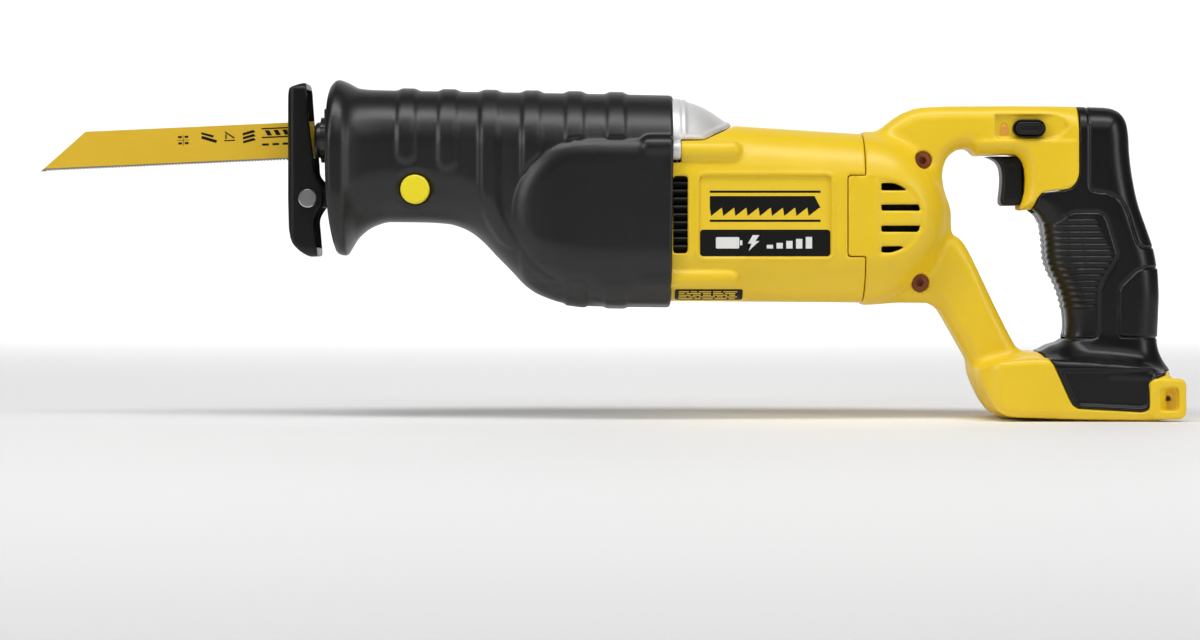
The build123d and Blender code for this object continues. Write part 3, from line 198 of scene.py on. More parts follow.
def skinOf(field, low, high, cell):
    cell = cell * cellScale
    axes = [np.arange(low[i] - 2 * cell, high[i] + 3 * cell, cell) for i in range(3)]
    x, y, z = axes[0][:, None, None], axes[1][None, :, None], axes[2][None, None, :]
    shape = tuple(len(a) for a in axes)
    values = np.broadcast_to(field(x, y, z), shape).astype(np.float32)
    origin = np.array([a[0] for a in axes])
    inside = values < 0
    count = np.zeros([n - 1 for n in shape], np.int8)
    for corner in range(8):
        i, j, k = corner >> 2 & 1, corner >> 1 & 1, corner & 1
        count += inside[i:shape[0] - 1 + i, j:shape[1] - 1 + j, k:shape[2] - 1 + k]
    mixed = (count > 0) & (count < 8)
    cells = np.argwhere(mixed)
    index = np.full(mixed.shape, -1, np.int64)
    index[mixed] = np.arange(len(cells))
    sums, hits = np.zeros((len(cells), 3)), np.zeros(len(cells))
    for a in range(8):
        for bit in (1, 2, 4):
            if a & bit:
                continue
            start = np.array([a >> 2 & 1, a >> 1 & 1, a & 1])
            end = np.array([(a | bit) >> 2 & 1, (a | bit) >> 1 & 1, (a | bit) & 1])
            va = values[tuple((cells + start).T)]
            vb = values[tuple((cells + end).T)]
            cross = (va < 0) != (vb < 0)
            t = np.where(cross, va / np.where(cross, va - vb, 1), 0)
            sums += np.where(cross[:, None], start + t[:, None] * (end - start), 0)
            hits += cross
    verts = origin + (cells + sums / hits[:, None]) * cell
    slopes = [np.gradient(values, cell, axis=i) for i in range(3)]
    for _ in range(3):
        f = readGrid(values, origin, cell, verts)
        g = np.stack([readGrid(s, origin, cell, verts) for s in slopes], axis=1)
        move = g * (f / np.maximum((g * g).sum(axis=1), 0.25))[:, None]
        verts -= np.clip(move, -0.3 * cell, 0.3 * cell)
    faces = []
    for axis in range(3):
        a = np.take(inside, range(shape[axis] - 1), axis)
        b = np.take(inside, range(1, shape[axis]), axis)
        spots = np.argwhere(a != b)
        others = [i for i in range(3) if i != axis]
        spots = spots[(spots[:, others[0]] > 0) & (spots[:, others[1]] > 0)]
        u, v = np.eye(3, dtype=int)[others[0]], np.eye(3, dtype=int)[others[1]]
        limit = np.array(mixed.shape) - 1
        around = (spots - u - v, spots - v, spots, spots - u)
        quad = np.stack([index[tuple(np.minimum(s, limit).T)] for s in around], 1)
        flip = inside[tuple(spots.T)] != (axis != 1)
        quad[flip] = quad[flip][:, ::-1]
        faces.append(quad)
    faces = np.concatenate(faces)
    return verts, faces[(faces >= 0).all(axis=1)], (values, origin, cell)


def meshObject(name, verts, faces):  # verts in millimetres
    mesh = bpy.data.meshes.new(name)
    faces = np.asarray(faces)
    mesh.vertices.add(len(verts))
    mesh.vertices.foreach_set("co", (np.asarray(verts, float) * mm).astype(np.float32).ravel())
    size = faces.shape[1]
    mesh.loops.add(faces.size)
    mesh.loops.foreach_set("vertex_index", faces.astype(np.int32).ravel())
    mesh.polygons.add(len(faces))
    mesh.polygons.foreach_set("loop_start", np.arange(0, faces.size, size, dtype=np.int32))
    mesh.polygons.foreach_set("loop_total", np.full(len(faces), size, np.int32))
    mesh.update(calc_edges=True)
    mesh.validate()
    mesh.polygons.foreach_set("use_smooth", np.ones(len(mesh.polygons), bool))
    piece = bpy.data.objects.new(name, mesh)
    scene.collection.objects.link(piece)
    return piece


def settle(piece, material, body, nodes=()):  # finish and body of a new piece; the nodes it replaces are hidden
    if material is not None:
        piece.data.materials.clear()
        piece.data.materials.append(material)
    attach(piece, body)
    if nodes:
        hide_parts(*nodes)
    return piece


def skin(name, field, low, high, cell, material, body, nodes=()):
    verts, faces, grid = skinOf(field, low, high, cell)
    piece = meshObject(name, verts, faces)
    print("skin", name, len(verts), "points")
    return settle(piece, material, body, nodes), grid, (verts, faces)


def mirrored(name, shape, material, body, nodes=()):  # the same skin on the other side
    verts, faces = shape
    piece = meshObject(name, verts * np.array([1, -1, 1]), faces[:, ::-1])
    return settle(piece, material, body, nodes)


# finishes
def nodeGroup(name, inputs, outputs):
    group = bpy.data.node_groups.new(name, "ShaderNodeTree")
    for label, kind, value in inputs:
        socket = group.interface.new_socket(label, in_out="INPUT", socket_type=kind)
        if value is not None:
            socket.default_value = value
    for label, kind in outputs:
        group.interface.new_socket(label, in_out="OUTPUT", socket_type=kind)
    return group, group.nodes.new("NodeGroupInput"), group.nodes.new("NodeGroupOutput")


def addNode(tree, kind, settings=None, links=None):
    node = tree.nodes.new(kind)
    for key, value in (settings or {}).items():
        if isinstance(key, (int, str)) and key in node.inputs.keys():
            node.inputs[key].default_value = value
        else:
            setattr(node, key, value)
    for key, source in (links or {}).items():
        tree.links.new(source, node.inputs[key])
    return node


def mathNode(tree, operation, a, b=None):
    node = tree.nodes.new("ShaderNodeMath")
    node.operation = operation
    for i, value in enumerate((a, b)):
        if value is None:
            continue
        if isinstance(value, (int, float)):
            node.inputs[i].default_value = value
        else:
            tree.links.new(value, node.inputs[i])
    return node.outputs[0]


def makeMouldGroup():  # fine moulded grain: a bumped normal and two slow masks
    group, start, end = nodeGroup(
        "mouldGrain",
        [("Place", "NodeSocketVector", None), ("Grain", "NodeSocketFloat", 2200.0),
         ("Depth", "NodeSocketFloat", 0.2), ("Patch", "NodeSocketFloat", 35.0)],
        [("Normal", "NodeSocketVector"), ("Fine", "NodeSocketFloat"), ("Cloud", "NodeSocketFloat")])
    fine = addNode(group, "ShaderNodeTexNoise", {"Detail": 2.0, "Roughness": 0.6},
                   {"Vector": start.outputs["Place"], "Scale": start.outputs["Grain"]})
    cloud = addNode(group, "ShaderNodeTexNoise", {"Detail": 4.0, "Roughness": 0.55},
                    {"Vector": start.outputs["Place"], "Scale": start.outputs["Patch"]})
    bump = addNode(group, "ShaderNodeBump", {"Distance": 0.0002},
                   {"Height": fine.outputs["Fac"], "Strength": start.outputs["Depth"]})
    group.links.new(bump.outputs["Normal"], end.inputs["Normal"])
    group.links.new(fine.outputs["Fac"], end.inputs["Fine"])
    group.links.new(cloud.outputs["Fac"], end.inputs["Cloud"])
    return group


def makeScuffGroup():  # thin stretched scratches and dust specks
    group, start, end = nodeGroup(
        "scuffMarks",
        [("Place", "NodeSocketVector", None), ("Amount", "NodeSocketFloat", 0.5),
         ("Stretch", "NodeSocketVector", (1.0, 1.0, 12.0))],
        [("Scratch", "NodeSocketFloat"), ("Dust", "NodeSocketFloat")])
    stretched = group.nodes.new("ShaderNodeVectorMath")
    stretched.operation = "MULTIPLY"
    group.links.new(start.outputs["Place"], stretched.inputs[0])
    group.links.new(start.outputs["Stretch"], stretched.inputs[1])
    lines = addNode(group, "ShaderNodeTexNoise", {"Scale": 130.0, "Detail": 3.0, "Roughness": 0.7},
                    {"Vector": stretched.outputs[0]})
    sharp = mathNode(group, "MULTIPLY", mathNode(group, "SUBTRACT", lines.outputs["Fac"], 0.62), 9.0)
    kept = mathNode(group, "MULTIPLY", mathNode(group, "MAXIMUM", sharp, 0.0), start.outputs["Amount"])
    specks = addNode(group, "ShaderNodeTexNoise", {"Scale": 420.0, "Detail": 1.0},
                     {"Vector": start.outputs["Place"]})
    dust = mathNode(group, "MAXIMUM", mathNode(group, "SUBTRACT", specks.outputs["Fac"], 0.66), 0.0)
    group.links.new(mathNode(group, "MINIMUM", kept, 1.0), end.inputs["Scratch"])
    group.links.new(mathNode(group, "MULTIPLY", dust, start.outputs["Amount"]), end.inputs["Dust"])
    return group


def mixColour(tree, first, second, factor):  # second is a plain colour
    node = tree.nodes.new("ShaderNodeMix")
    node.data_type = "RGBA"
    node.inputs["B"].default_value = (*second, 1)
    tree.links.new(first, node.inputs["A"])
    tree.links.new(factor, node.inputs["Factor"])
    return node.outputs["Result"]


mouldGrain = makeMouldGroup()
scuffMarks = makeScuffGroup()


def finish(name, colour, shade, rough, metallic=0.0, grain=2200.0, depth=0.2, scuff=0.3,
           stretch=(1.0, 1.0, 12.0),
           specular=0.5):
    material = bpy.data.materials.new(name)
    material.use_nodes = True
    tree = material.node_tree
    shader = tree.nodes["Principled BSDF"]
    place = tree.nodes.new("ShaderNodeTexCoord").outputs["Object"]
    mould = addNode(tree, "ShaderNodeGroup", {"node_tree": mouldGrain, "Grain": grain, "Depth": depth},
                    {"Place": place})
    marks = addNode(tree, "ShaderNodeGroup", {"node_tree": scuffMarks, "Amount": scuff, "Stretch": stretch},
                    {"Place": place})
    tone = tree.nodes.new("ShaderNodeValToRGB")
    tone.color_ramp.elements[0].position, tone.color_ramp.elements[1].position = 0.3, 0.7
    tone.color_ramp.elements[0].color = (*shade, 1)
    tone.color_ramp.elements[1].color = (*colour, 1)
    tree.links.new(mould.outputs["Cloud"], tone.inputs["Fac"])
    dusted = mixColour(tree, tone.outputs["Color"], [min(1.0, c * 1.25 + 0.03) for c in colour],
                       marks.outputs["Scratch"])
    roughness = mathNode(tree, "ADD", mathNode(tree, "MULTIPLY", mould.outputs["Cloud"], 0.12), rough - 0.06)
    roughness = mathNode(tree, "ADD", roughness, mathNode(tree, "MULTIPLY", marks.outputs["Dust"], 0.6))
    tree.links.new(dusted, shader.inputs["Base Color"])
    tree.links.new(roughness, shader.inputs["Roughness"])
    tree.links.new(mould.outputs["Normal"], shader.inputs["Normal"])
    shader.inputs["Metallic"].default_value = metallic
    shader.inputs["Specular IOR Level"].default_value = specular
    return material


yellowNylon = finish("yellowNylon", (0.87, 0.60, 0.018), (0.84, 0.565, 0.015), 0.36, grain=2600, depth=0.10,
                     scuff=0.05)
bootRubber = finish("bootRubber", (0.0085, 0.0085, 0.009), (0.0065, 0.0065, 0.007), 0.36, grain=1800,
                    depth=0.20,
                    scuff=0.08, specular=0.5)
gripRubber = finish("gripRubber", (0.0055, 0.0055, 0.006), (0.0045, 0.0045, 0.005), 0.30, grain=2000,
                    depth=0.10,
                    scuff=0.03, specular=0.36)
blackNylon = finish("blackNylon", (0.008, 0.008, 0.0085), (0.006, 0.006, 0.006), 0.42, grain=2400, depth=0.12,
                    scuff=0.05, specular=0.3)
shoeBlack = finish("shoeBlack", (0.005, 0.005, 0.0055), (0.004, 0.004, 0.0045), 0.34, grain=900, depth=0.05,
                   scuff=0.06, specular=0.35, stretch=(14.0, 14.0, 1.0))
castAlloy = finish("castAlloy", (0.80, 0.80, 0.81), (0.74, 0.74, 0.75), 0.42, metallic=0.35, grain=1500,
                   depth=0.45,
                   scuff=0.2)
brightSteel = finish("brightSteel", (0.62, 0.62, 0.63), (0.50, 0.50, 0.51), 0.28, metallic=1.0, grain=3000,
                     depth=0.08, scuff=0.5)
darkSteel = finish("darkSteel", (0.085, 0.085, 0.088), (0.055, 0.055, 0.058), 0.36, metallic=0.8, grain=1600,
                   depth=0.15, scuff=0.6)
bronzeCoat = finish("bronzeCoat", (0.30, 0.085, 0.030), (0.24, 0.065, 0.022), 0.42, metallic=0.35, grain=1800,
                    depth=0.15, scuff=0.25)
sinteredBronze = finish("sinteredBronze", (0.42, 0.25, 0.12), (0.34, 0.20, 0.10), 0.45, metallic=0.9,
                        grain=2600,
                        depth=0.4, scuff=0.2)
copperWire = finish("copperWire", (0.60, 0.22, 0.09), (0.48, 0.17, 0.06), 0.30, metallic=0.9, grain=1400,
                    depth=0.3,
                    scuff=0.1, stretch=(1.0, 30.0, 30.0))
ferrite = finish("ferrite", (0.06, 0.06, 0.065), (0.045, 0.045, 0.05), 0.6, grain=2200, depth=0.3, scuff=0.3)
buttonYellow = finish("buttonYellow", (0.88, 0.74, 0.02), (0.86, 0.71, 0.018), 0.34, grain=2600, depth=0.08,
                      scuff=0.05)
labelYellow = finish("labelYellow", (0.88, 0.61, 0.03), (0.86, 0.59, 0.028), 0.30, grain=3200, depth=0.05,
                     scuff=0.04)
inkBlack = finish("inkBlack", (0.006, 0.006, 0.006), (0.005, 0.005, 0.005), 0.45, grain=3200, depth=0.05,
                  scuff=0.05, specular=0.2)
inkOchre = finish("inkOchre", (0.80, 0.36, 0.06), (0.76, 0.33, 0.05), 0.45, grain=3200, depth=0.05,
                  scuff=0.05)
inkWhite = finish("inkWhite", (0.80, 0.80, 0.78), (0.76, 0.76, 0.75), 0.4, grain=3200, depth=0.05, scuff=0.05)
leadRed = finish("leadRed", (0.50, 0.02, 0.015), (0.42, 0.018, 0.012), 0.4, depth=0.1, scuff=0.1)


blade = {"tilt": 2.6, "clampX": -147.6, "spindleZ": 139.5, "bareEdge": 1.15, "wobble": 0.4}


def makeBladePaint():  # yellow paint down to the ground, bright steel along the teeth
    material = finish("bladePaint", (0.76, 0.49, 0.030), (0.72, 0.455, 0.026), 0.33, grain=1500, depth=0.08,
                      scuff=0.18,
                      stretch=(1.0, 6.0, 12.0))
    tree = material.node_tree
    shader = tree.nodes["Principled BSDF"]
    place = tree.nodes.new("ShaderNodeTexCoord").outputs["Object"]
    axes = addNode(tree, "ShaderNodeSeparateXYZ", links={"Vector": place})
    slope = math.tan(math.radians(blade["tilt"]))
    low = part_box("blade")[0]
    lineHeight = mathNode(tree, "SUBTRACT", axes.outputs["Z"],
                          mathNode(tree, "MULTIPLY", mathNode(tree, "SUBTRACT", axes.outputs["X"], low[0]),
                                   slope))
    wobble = addNode(tree, "ShaderNodeTexNoise", {"Scale": 400.0, "Detail": 2.0}, {"Vector": place})
    edge = mathNode(tree, "ADD", low[2] + blade["bareEdge"] * mm,
                    mathNode(tree, "MULTIPLY", wobble.outputs["Fac"], blade["wobble"] * mm))
    bare = mathNode(tree, "LESS_THAN", lineHeight, edge)
    painted = shader.inputs["Base Color"].links[0].from_socket
    tree.links.new(mixColour(tree, painted, (0.55, 0.53, 0.50), bare), shader.inputs["Base Color"])
    tree.links.new(bare, shader.inputs["Metallic"])
    return material


bladePaint = makeBladePaint()
print("finishes ready")


def repaint(material, *names):
    for name in names:
        node = frame["nodes"][name]
        node.data.materials.clear()
        node.data.materials.append(material)


repaint(bladePaint, "blade")
repaint(darkSteel, "clamp_body", "clamp_collar", "shoe_post", "yoke")
repaint(brightSteel, "clamp_pin", "spindle", "shoe_pin", "crank_gear", "crank_pin", "crank_roller",
        "crank_shaft",
        "crank_bearing", "counterweight", "case_screws", "front_bearing", "rear_bearing", "rotor_shaft",
        "pinion",
        "motor_can", "armature_core", "terminal_blades")
repaint(sinteredBronze, "front_bush", "rear_bush")
repaint(castAlloy, "gear_case", "rear_bearing_bracket")
repaint(copperWire, "windings", "commutator")
repaint(ferrite, "motor_magnets", "brushes")
repaint(blackNylon, "cooling_fan", "brush_holder", "switch_body", "terminal_block", "spindle_seal",
        "negative_lead")
repaint(leadRed, "positive_lead")
repaint(buttonYellow, "shoe_button")
repaint(labelYellow, "label_left", "label_right")

# rubber boot
boot = {
    "cell": 0.95, "wall": 3.4, "frontX": -140.3, "rearX": 32.0, "ribHeight": 1.25, "ribHalf": 5.4,
    "ribs": [(-100.4, 127.0, 0), (-80.0, 123.5, 0), (-59.4, 84.0, 0.016), (-38.4, 84.0, 0.012),
             (-17.0, 84.0, 0), (3.6, 84.0, 0)],
    "bellyPads": [(-16.8, 69.0), (3.2, 68.0)],
    "bulgeX": -11.2, "bulgeZ": 102.6, "bulgeR": 36.4, "bulgeHeight": 2.9, "bulgeSlope": 11.0,
    "top": [(-146, 165), (-139, 167.8), (-135.4, 169.6), (-130.8, 168.2), (-124.7, 165.3), (-118, 164.7),
            (-80, 163.9), (32, 161.6)],
    "low": [(-146, 86), (-137, 82.3), (-132, 81.4), (-129, 85.3), (-126, 90), (-118, 96), (-110, 98.2),
            (-92, 98.0), (-80.5, 97.2), (-73.8, 95.3), (-68.5, 92.6), (-63, 88.2), (-56.5, 81.4),
            (-48.5, 73.3), (-41.7, 66.2), (-35, 61.8), (-21.5, 57.4), (-8, 56.0), (32, 55.4)],
    "half": [(-146, 34), (-137, 37), (-133, 36.6), (-128, 33.6), (-121, 31), (-112, 29.8), (-80, 29.8),
             (-64, 32), (-42, 36.6), (-20, 38.9), (32, 39.6)],
    "corner": [(-146, 32), (-133, 33), (-121, 29), (-112, 27.5), (-64, 28), (-42, 30), (-20, 31), (32, 31)],
}


def bootField(x, y, z):
    top, low = along(x, boot["top"]), along(x, boot["low"])
    half, corner = along(x, boot["half"]), along(x, boot["corner"])
    height = (top - low) / 2
    form = roundRect(y, z - (top + low) / 2, half, height, np.minimum(corner, np.minimum(half, height) - 0.3))
    body = form
    bulge = np.minimum(np.hypot(x - boot["bulgeX"], z - boot["bulgeZ"]) - boot["bulgeR"],
                       np.maximum(boot["bulgeX"] - x, z - boot["bulgeZ"] - boot["bulgeR"]))
    apart = ramp(-0.4, 1.2, bulge)  # ribs stop at the bulge
    for ribX, endZ, sweep in boot["ribs"]:
        middle = ribX + sweep * np.maximum(113 - z, 0) ** 2
        outside = np.hypot(np.abs(x - middle), np.maximum(endZ + boot["ribHalf"] - z, 0)) - boot["ribHalf"]
        body = body - boot["ribHeight"] * ramp(0.8, -2.6, outside) * apart
    for padX, endZ in boot["bellyPads"]:
        reach = ramp(endZ + 1.5, endZ - 1.5, z)
        body = body - 0.9 * reach * ramp(6.2, 4.4, np.abs(x - padX))
    body = body - 0.8 * ramp(2.5, -2.5, np.hypot(x + 37, z - 76) - 4.5)
    side = ramp(14, 30, np.abs(y))
    inward = np.clip(1 + np.minimum(bulge, 0) / boot["bulgeSlope"], 0, 1)
    body = body - boot["bulgeHeight"] * side * ramp(0.5, -0.5, bulge) * (1 - inward**2.4)
    drop = np.maximum(np.abs(x + 22.5) - 22.5, np.abs(z - 84) - 16)
    body = body - 0.8 * side * ramp(0.6, -2.5, drop) * ramp(0.5, -0.5, -bulge)
    for sideSign in (-1, 1):
        body = smoothUnion(body, capsuleX(x, y, z, 20, 60, sideSign * 37.2, 134.8, 5.7), 1.6)
        body = smoothUnion(body, capsuleX(x, y, z, 18, 60, sideSign * 33.6, 70.8, 6.0), 1.8)
    body = body + 0.9 * ramp(2.2, 0.0, np.abs(np.hypot(x + 96, z - 114.3) - 8.3)) * ramp(10, 20, -y)
    frontX = boot["frontX"] + 3.2 * np.clip((132 - z) / 46, 0, 1) ** 2
    frontX = frontX + 0.8 * np.clip((z - 150) / 18, 0, 1) ** 2
    body = smoothMeet(body, frontX - x, 3.5)
    rearX = boot["rearX"] - 1.3 * (162 - z) / 106
    body = smoothMeet(body, x - rearX, 2.2)
    mouth = np.maximum(roundRect(y, z - 131.4, 26.4, 30.0, 24.0), x + 124)
    mouth = smoothUnion(mouth, roundRect(y, z - 131.4, 26.4, 30.0, 24.0) + (x + 141.0) * 0.9, 2.0)
    body = smoothCut(body, mouth, 1.6)
    body = smoothCut(body, np.maximum(form + boot["wall"], np.maximum(-130 - x, x - 26)), 1.0)
    tail = np.maximum(roundRect(y, z - 108.8, 37.6, 50.2, 30.8), 24.0 - x)
    for sideSign in (-1, 1):
        tail = np.minimum(tail, capsuleX(x, y, z, 24, 60, sideSign * 34.2, 133.4, 5.5))
        tail = np.minimum(tail, capsuleX(x, y, z, 24, 60, sideSign * 31.0, 70.6, 5.5))
    body = smoothCut(body, tail, 0.8)
    button = np.hypot(x + 96, z - 114.3) - 7.55
    return smoothCut(body, np.maximum(button, y + 20), 0.7)


skin("rubberBoot", bootField, (-141, -46, 52), (33, 46, 171), boot["cell"], bootRubber, "housing",
     ["boot"])

# motor housing and its dome end
motor = {
    "cell": 0.9, "half": 38.0, "corner": 27.0, "endX": 126.4, "seamX": 126.3, "tabX": 117.2, "tabHalf": 20.3,
    "labelX": 76.75, "labelHalfX": 32.5, "labelHalfZ": 20.0,
    "grilleX": 35.0, "grilleHalfX": 3.6, "grilleHalfZ": 19.0,
}


def motorForm(x, y, z, inset=0.0):  # housing and dome end as one smooth form
    run = np.minimum(x, motor["endX"])
    top, low = 146.3 - 0.064 * (run - 63), 58.7 - 0.008 * (run - 30)
    middle, height = (top + low) / 2, (top - low) / 2
    past = np.maximum(x - motor["endX"], 0)
    flat = np.hypot(past, np.abs(z - middle)) - height
    half = 37.4 + 0.5 * ramp(30, 120, x)
    return slab(flat, np.abs(y) - half, motor["corner"]) + inset


def tabArea(x, z, grow):
    return roundRect(x - (motor["tabX"] + 30), z - 101.0, 30 + grow, motor["tabHalf"] + grow, 1.6)


def ventArea(x, z, grow=0.0):  # the D of the side vents
    return np.maximum(np.hypot((x - 133.0) * 0.86, z - 100.3) - 18.9 - grow, 133.0 - grow - x)


def housingField(x, y, z):
    body = motorForm(x, y, z)
    for sideSign in (-1, 1):
        body = smoothUnion(body, capsuleX(x, y, z, 20, 60.2, sideSign * 34.2, 133.2, 5.0), 1.5)
        body = smoothUnion(body, capsuleX(x, y, z, 20, 59.4, sideSign * 32.2, 70.6, 5.0), 1.5)
        body = smoothCut(body, np.maximum(np.hypot(y - sideSign * 34.8, z - 133.4) - 6.2, x - 35.4), 0.3)
    label = roundRect(x - motor["labelX"], z - 100.75, motor["labelHalfX"], motor["labelHalfZ"], 2.4)
    body = body - 0.5 * ramp(1.1, 0.3, np.abs(label - 1.1)) * ramp(20, 30, np.abs(y))
    body = smoothCut(body, np.maximum(label, 36.3 - np.abs(y)), 0.5)
    grille = roundRect(x - motor["grilleX"], z - 101.7, motor["grilleHalfX"], motor["grilleHalfZ"], 1.5)
    body = smoothCut(body, np.maximum(grille, 33.0 - np.abs(y)), 0.7)
    dome = outlineDistance(x, z, [(10, 138.6), (47, 138.8), (58.4, 144.2), (63.5, 147.6), (66, 175),
                                  (10, 175)])
    body = smoothMeet(body, 0.25 - dome, 0.7)
    body = smoothMeet(body, x - motor["seamX"] + 0.2, 0.8)
    body = smoothMeet(body, 25.6 - x, 0.8)
    body = smoothMeet(body, -tabArea(x, z, -0.1), 0.7)
    return smoothCut(body, np.maximum(motorForm(x, y, z, 2.8), 29.0 - x), 0.8)


_, housingGrid, _ = skin("motorHousing", housingField, (25, -41, 56), (127, 41, 149), motor["cell"],
                         yellowNylon,
                               "housing", ["motor_housing"])

# bright dome of the gear case
dome = {
    "cell": 0.7,
    "top": [(26, 159.6), (33, 159.8), (36, 159.6), (41, 158.6), (46, 156.9), (51, 154.4), (56, 151.2),
            (61.4, 147.0), (64, 144.0)],
    "half": [(26, 37.2), (34, 36.4), (40, 34), (47, 30.6), (54, 25), (59, 18), (62, 10), (64, 4)],
}


def domeField(x, y, z):
    top, half = along(x, dome["top"]), along(x, dome["half"])
    body = roundRect(y, z - (top - 40), half, 40, np.minimum(half - 0.5, 25))
    border = outlineDistance(x, z, [(20, 138.6), (47, 138.8), (58.4, 144.2), (63.5, 147.6), (66, 175),
                                    (20, 175)])
    panel = roundRect(x - 70, z - 155, 31.6, 20, 3)
    inner = np.maximum(panel, border + 3.0)
    body = body + 0.8 * ramp(0.45, -0.45, inner)
    body = body - 0.35 * ramp(0.9, 0.0, np.abs(inner - 0.9))
    body = body + 0.6 * ramp(0.8, 0.0, np.abs(x - 36.2))
    body = smoothMeet(body, border, 1.0)
    body = smoothMeet(body, 26.5 - x, 1.0)
    for sideSign in (-1, 1):
        ring = np.maximum(np.hypot(y - sideSign * 34.2, z - 133.4) - 4.9, np.abs(x - 31) - 4.3)
        body = np.minimum(body, ring)
    return body


skin("gearCaseDome", domeField, (26, -40, 127), (63, 40, 161), dome["cell"], castAlloy, "housing",
     ["gear_case_cover"])
print("motor end ready")

# handle
handle = {
    "cell": 0.95, "gripCell": 0.62, "barHalf": 15.6, "footHalf": 37.0, "inlayDepth": 34.4,
    "topRun": [(124, 141.9), (129.5, 142.3), (133.5, 143.2), (138, 146.4), (144.5, 151.3), (150, 154),
               (156, 155.5), (169.5, 156.2)],
    "gripBack": [(248, 155.7), (252.5, 154.9), (256.6, 152.5), (259.3, 148), (260.5, 141.1), (261, 132.2),
                 (262.4, 121), (265.2, 107.6), (269.4, 95.4), (272.9, 85), (274.8, 75), (275.8, 63),
                 (275.4, 51.8), (274.7, 40), (275.6, 30), (276.9, 23.9)],
    "lowRun": [(274, 0.1), (236, 0.5), (200.4, 1.6), (196, 2.4), (191.5, 5.2), (187, 11.7), (182.4, 21.4),
               (181.2, 26.2), (178.5, 31.5), (167.4, 50.8), (164.6, 54.9), (161, 57.1), (156, 57.7),
               (124, 57.9)],
    "holeLeft": [(187, 131.6), (183.6, 131.8), (180.9, 134.3), (178.5, 135), (173.6, 133.9), (169.1, 130),
                 (167.1, 124), (166.6, 117), (167.6, 111.5), (169.6, 107.5), (170.8, 103), (170.9, 97.5),
                 (171.8, 92.6), (175.9, 89.5), (180.3, 82.8), (191.5, 59.6), (201.5, 39.6), (204.2, 35.4),
                 (207.6, 33.1), (211.5, 32.5)],
    "holeGrip": [(216.6, 33.6), (220.5, 35.8), (225, 36.9), (227.8, 39.6), (228.8, 44.5), (228.6, 52),
                 (227, 60), (224.6, 67), (221.3, 73.5), (219.2, 80), (218.6, 88), (217.6, 95), (215.2, 101),
                 (211.8, 104.1)],
    "holeGuard": [(210.3, 104.3), (206.6, 104.2), (205.3, 105.4), (206.6, 109.0), (207.7, 114),
                  (207.9, 120), (207.2, 126), (205.2, 130), (202, 132), (196, 132)],
    "hollow": [(112, 62), (150, 62), (163, 90), (163, 112), (150, 140), (112, 140)],
    "seam": [(234.3, 175), (234.3, 122.6), (233.9, 120.3), (232.6, 117.6), (230.3, 115), (227.5, 114.2),
             (218, 113.2), (215.6, 112.3), (213.6, 109.6), (212.2, 106.4), (210.9, 103.2), (205, 101),
             (205, 40), (212.5, 34.4), (216, 32.2), (218.9, 27.8), (226.8, 10.4), (228.4, 7.8), (231, 6.2),
             (262.5, 4.6), (265.8, 5.8), (267.3, 8.4), (268.0, 15.6), (268.9, 19.3), (271.6, 21.8),
             (276.7, 23.6), (310, 24), (310, 175)],
}
outerOutline = (bend(handle["topRun"]) + [(200, 156.3), (234, 156.2)] + bend(handle["gripBack"])
                + [(274.6, 12)] + bend(handle["lowRun"]))
holeOutline = bend(handle["holeLeft"]) + bend(handle["holeGrip"]) + bend(handle["holeGuard"])
footOutline = (bend([(277, 22.6), (272, 24.6), (262, 27.6), (240, 29.6), (222, 30.4), (212, 31.2),
                     (200, 30.6), (188, 28.2), (181, 25.2)])
               + bend([(182.4, 21.4), (187, 11.7), (191.5, 5.2), (196, 2.4), (200.4, 1.6)])
               + [(236, 0.5), (272, 0.1)])
screws = {
    "places": [(156.4, -13.7, 129.0), (155.0, -13.7, 68.0), (275.2, -31.4, 11.1)], "recessR": 4.5,
    "sizes": {"HeadRadius": 4.3 * mm, "HeadHeight": 2.4 * mm, "SocketOuter": 2.1 * mm,
              "SocketInner": 1.6 * mm, "SocketDepth": 2.1 * mm, "ShankRadius": 1.9 * mm,
              "ShankLength": 12 * mm},
}
triggerSlot = ((185, -8.4, 103), (214.5, 8.4, 131.8))
switchLow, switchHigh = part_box("switch_body")
switchBay = ([value / mm - 0.4 for value in switchLow], [value / mm + 0.4 for value in switchHigh])


def handleForm(x, y, z):  # frame, dome end and foot, before the shells are cut apart
    flat = np.maximum(outlineDistance(x, z, outerOutline), -outlineDistance(x, z, holeOutline))
    grip = ramp(214, 236, x) * ramp(20, 40, z)
    width = handle["barHalf"] + 2.2 * grip - 1.2 * ramp(80, 55, z) * (1 - ramp(196, 214, x))
    # ridge by the trigger
    width = width + 0.9 * ramp(139.6, 138.0, z) * ramp(176, 186, x) * (1 - ramp(228, 240, x))
    body = slab(flat, np.abs(y) - width, 7.5 + 6.0 * grip)
    body = smoothUnion(body, np.maximum(motorForm(x, y, z), 116 - x), 5.0)
    foot = slab(outlineDistance(x, z, footOutline), np.abs(y) - handle["footHalf"], 5.0)
    foot = smoothMeet(foot, roundRect(x - 240, y, 58.5, 37.4, 20.0), 3.0)
    body = smoothUnion(body, foot, 6.0 + 8.0 * ramp(214, 226, x))
    body = smoothCut(body, boxField(x, y, z, (204, -31, -9), (300, 31, 17)), 0.9)
    rail = np.maximum(boxField(x, np.abs(y), z, (204, 27, 2), (274, 34, 7)), 0)
    return smoothUnion(body, rail, 0.8)


lug = {"x": 275.0, "z": 11.0, "halfX": 9.0, "halfZ": 10.0, "middleY": 34.3, "halfY": 3.4, "floorY": 32.8,
       "holeX": 275.2, "holeZ": 11.1, "holeR": 1.6}


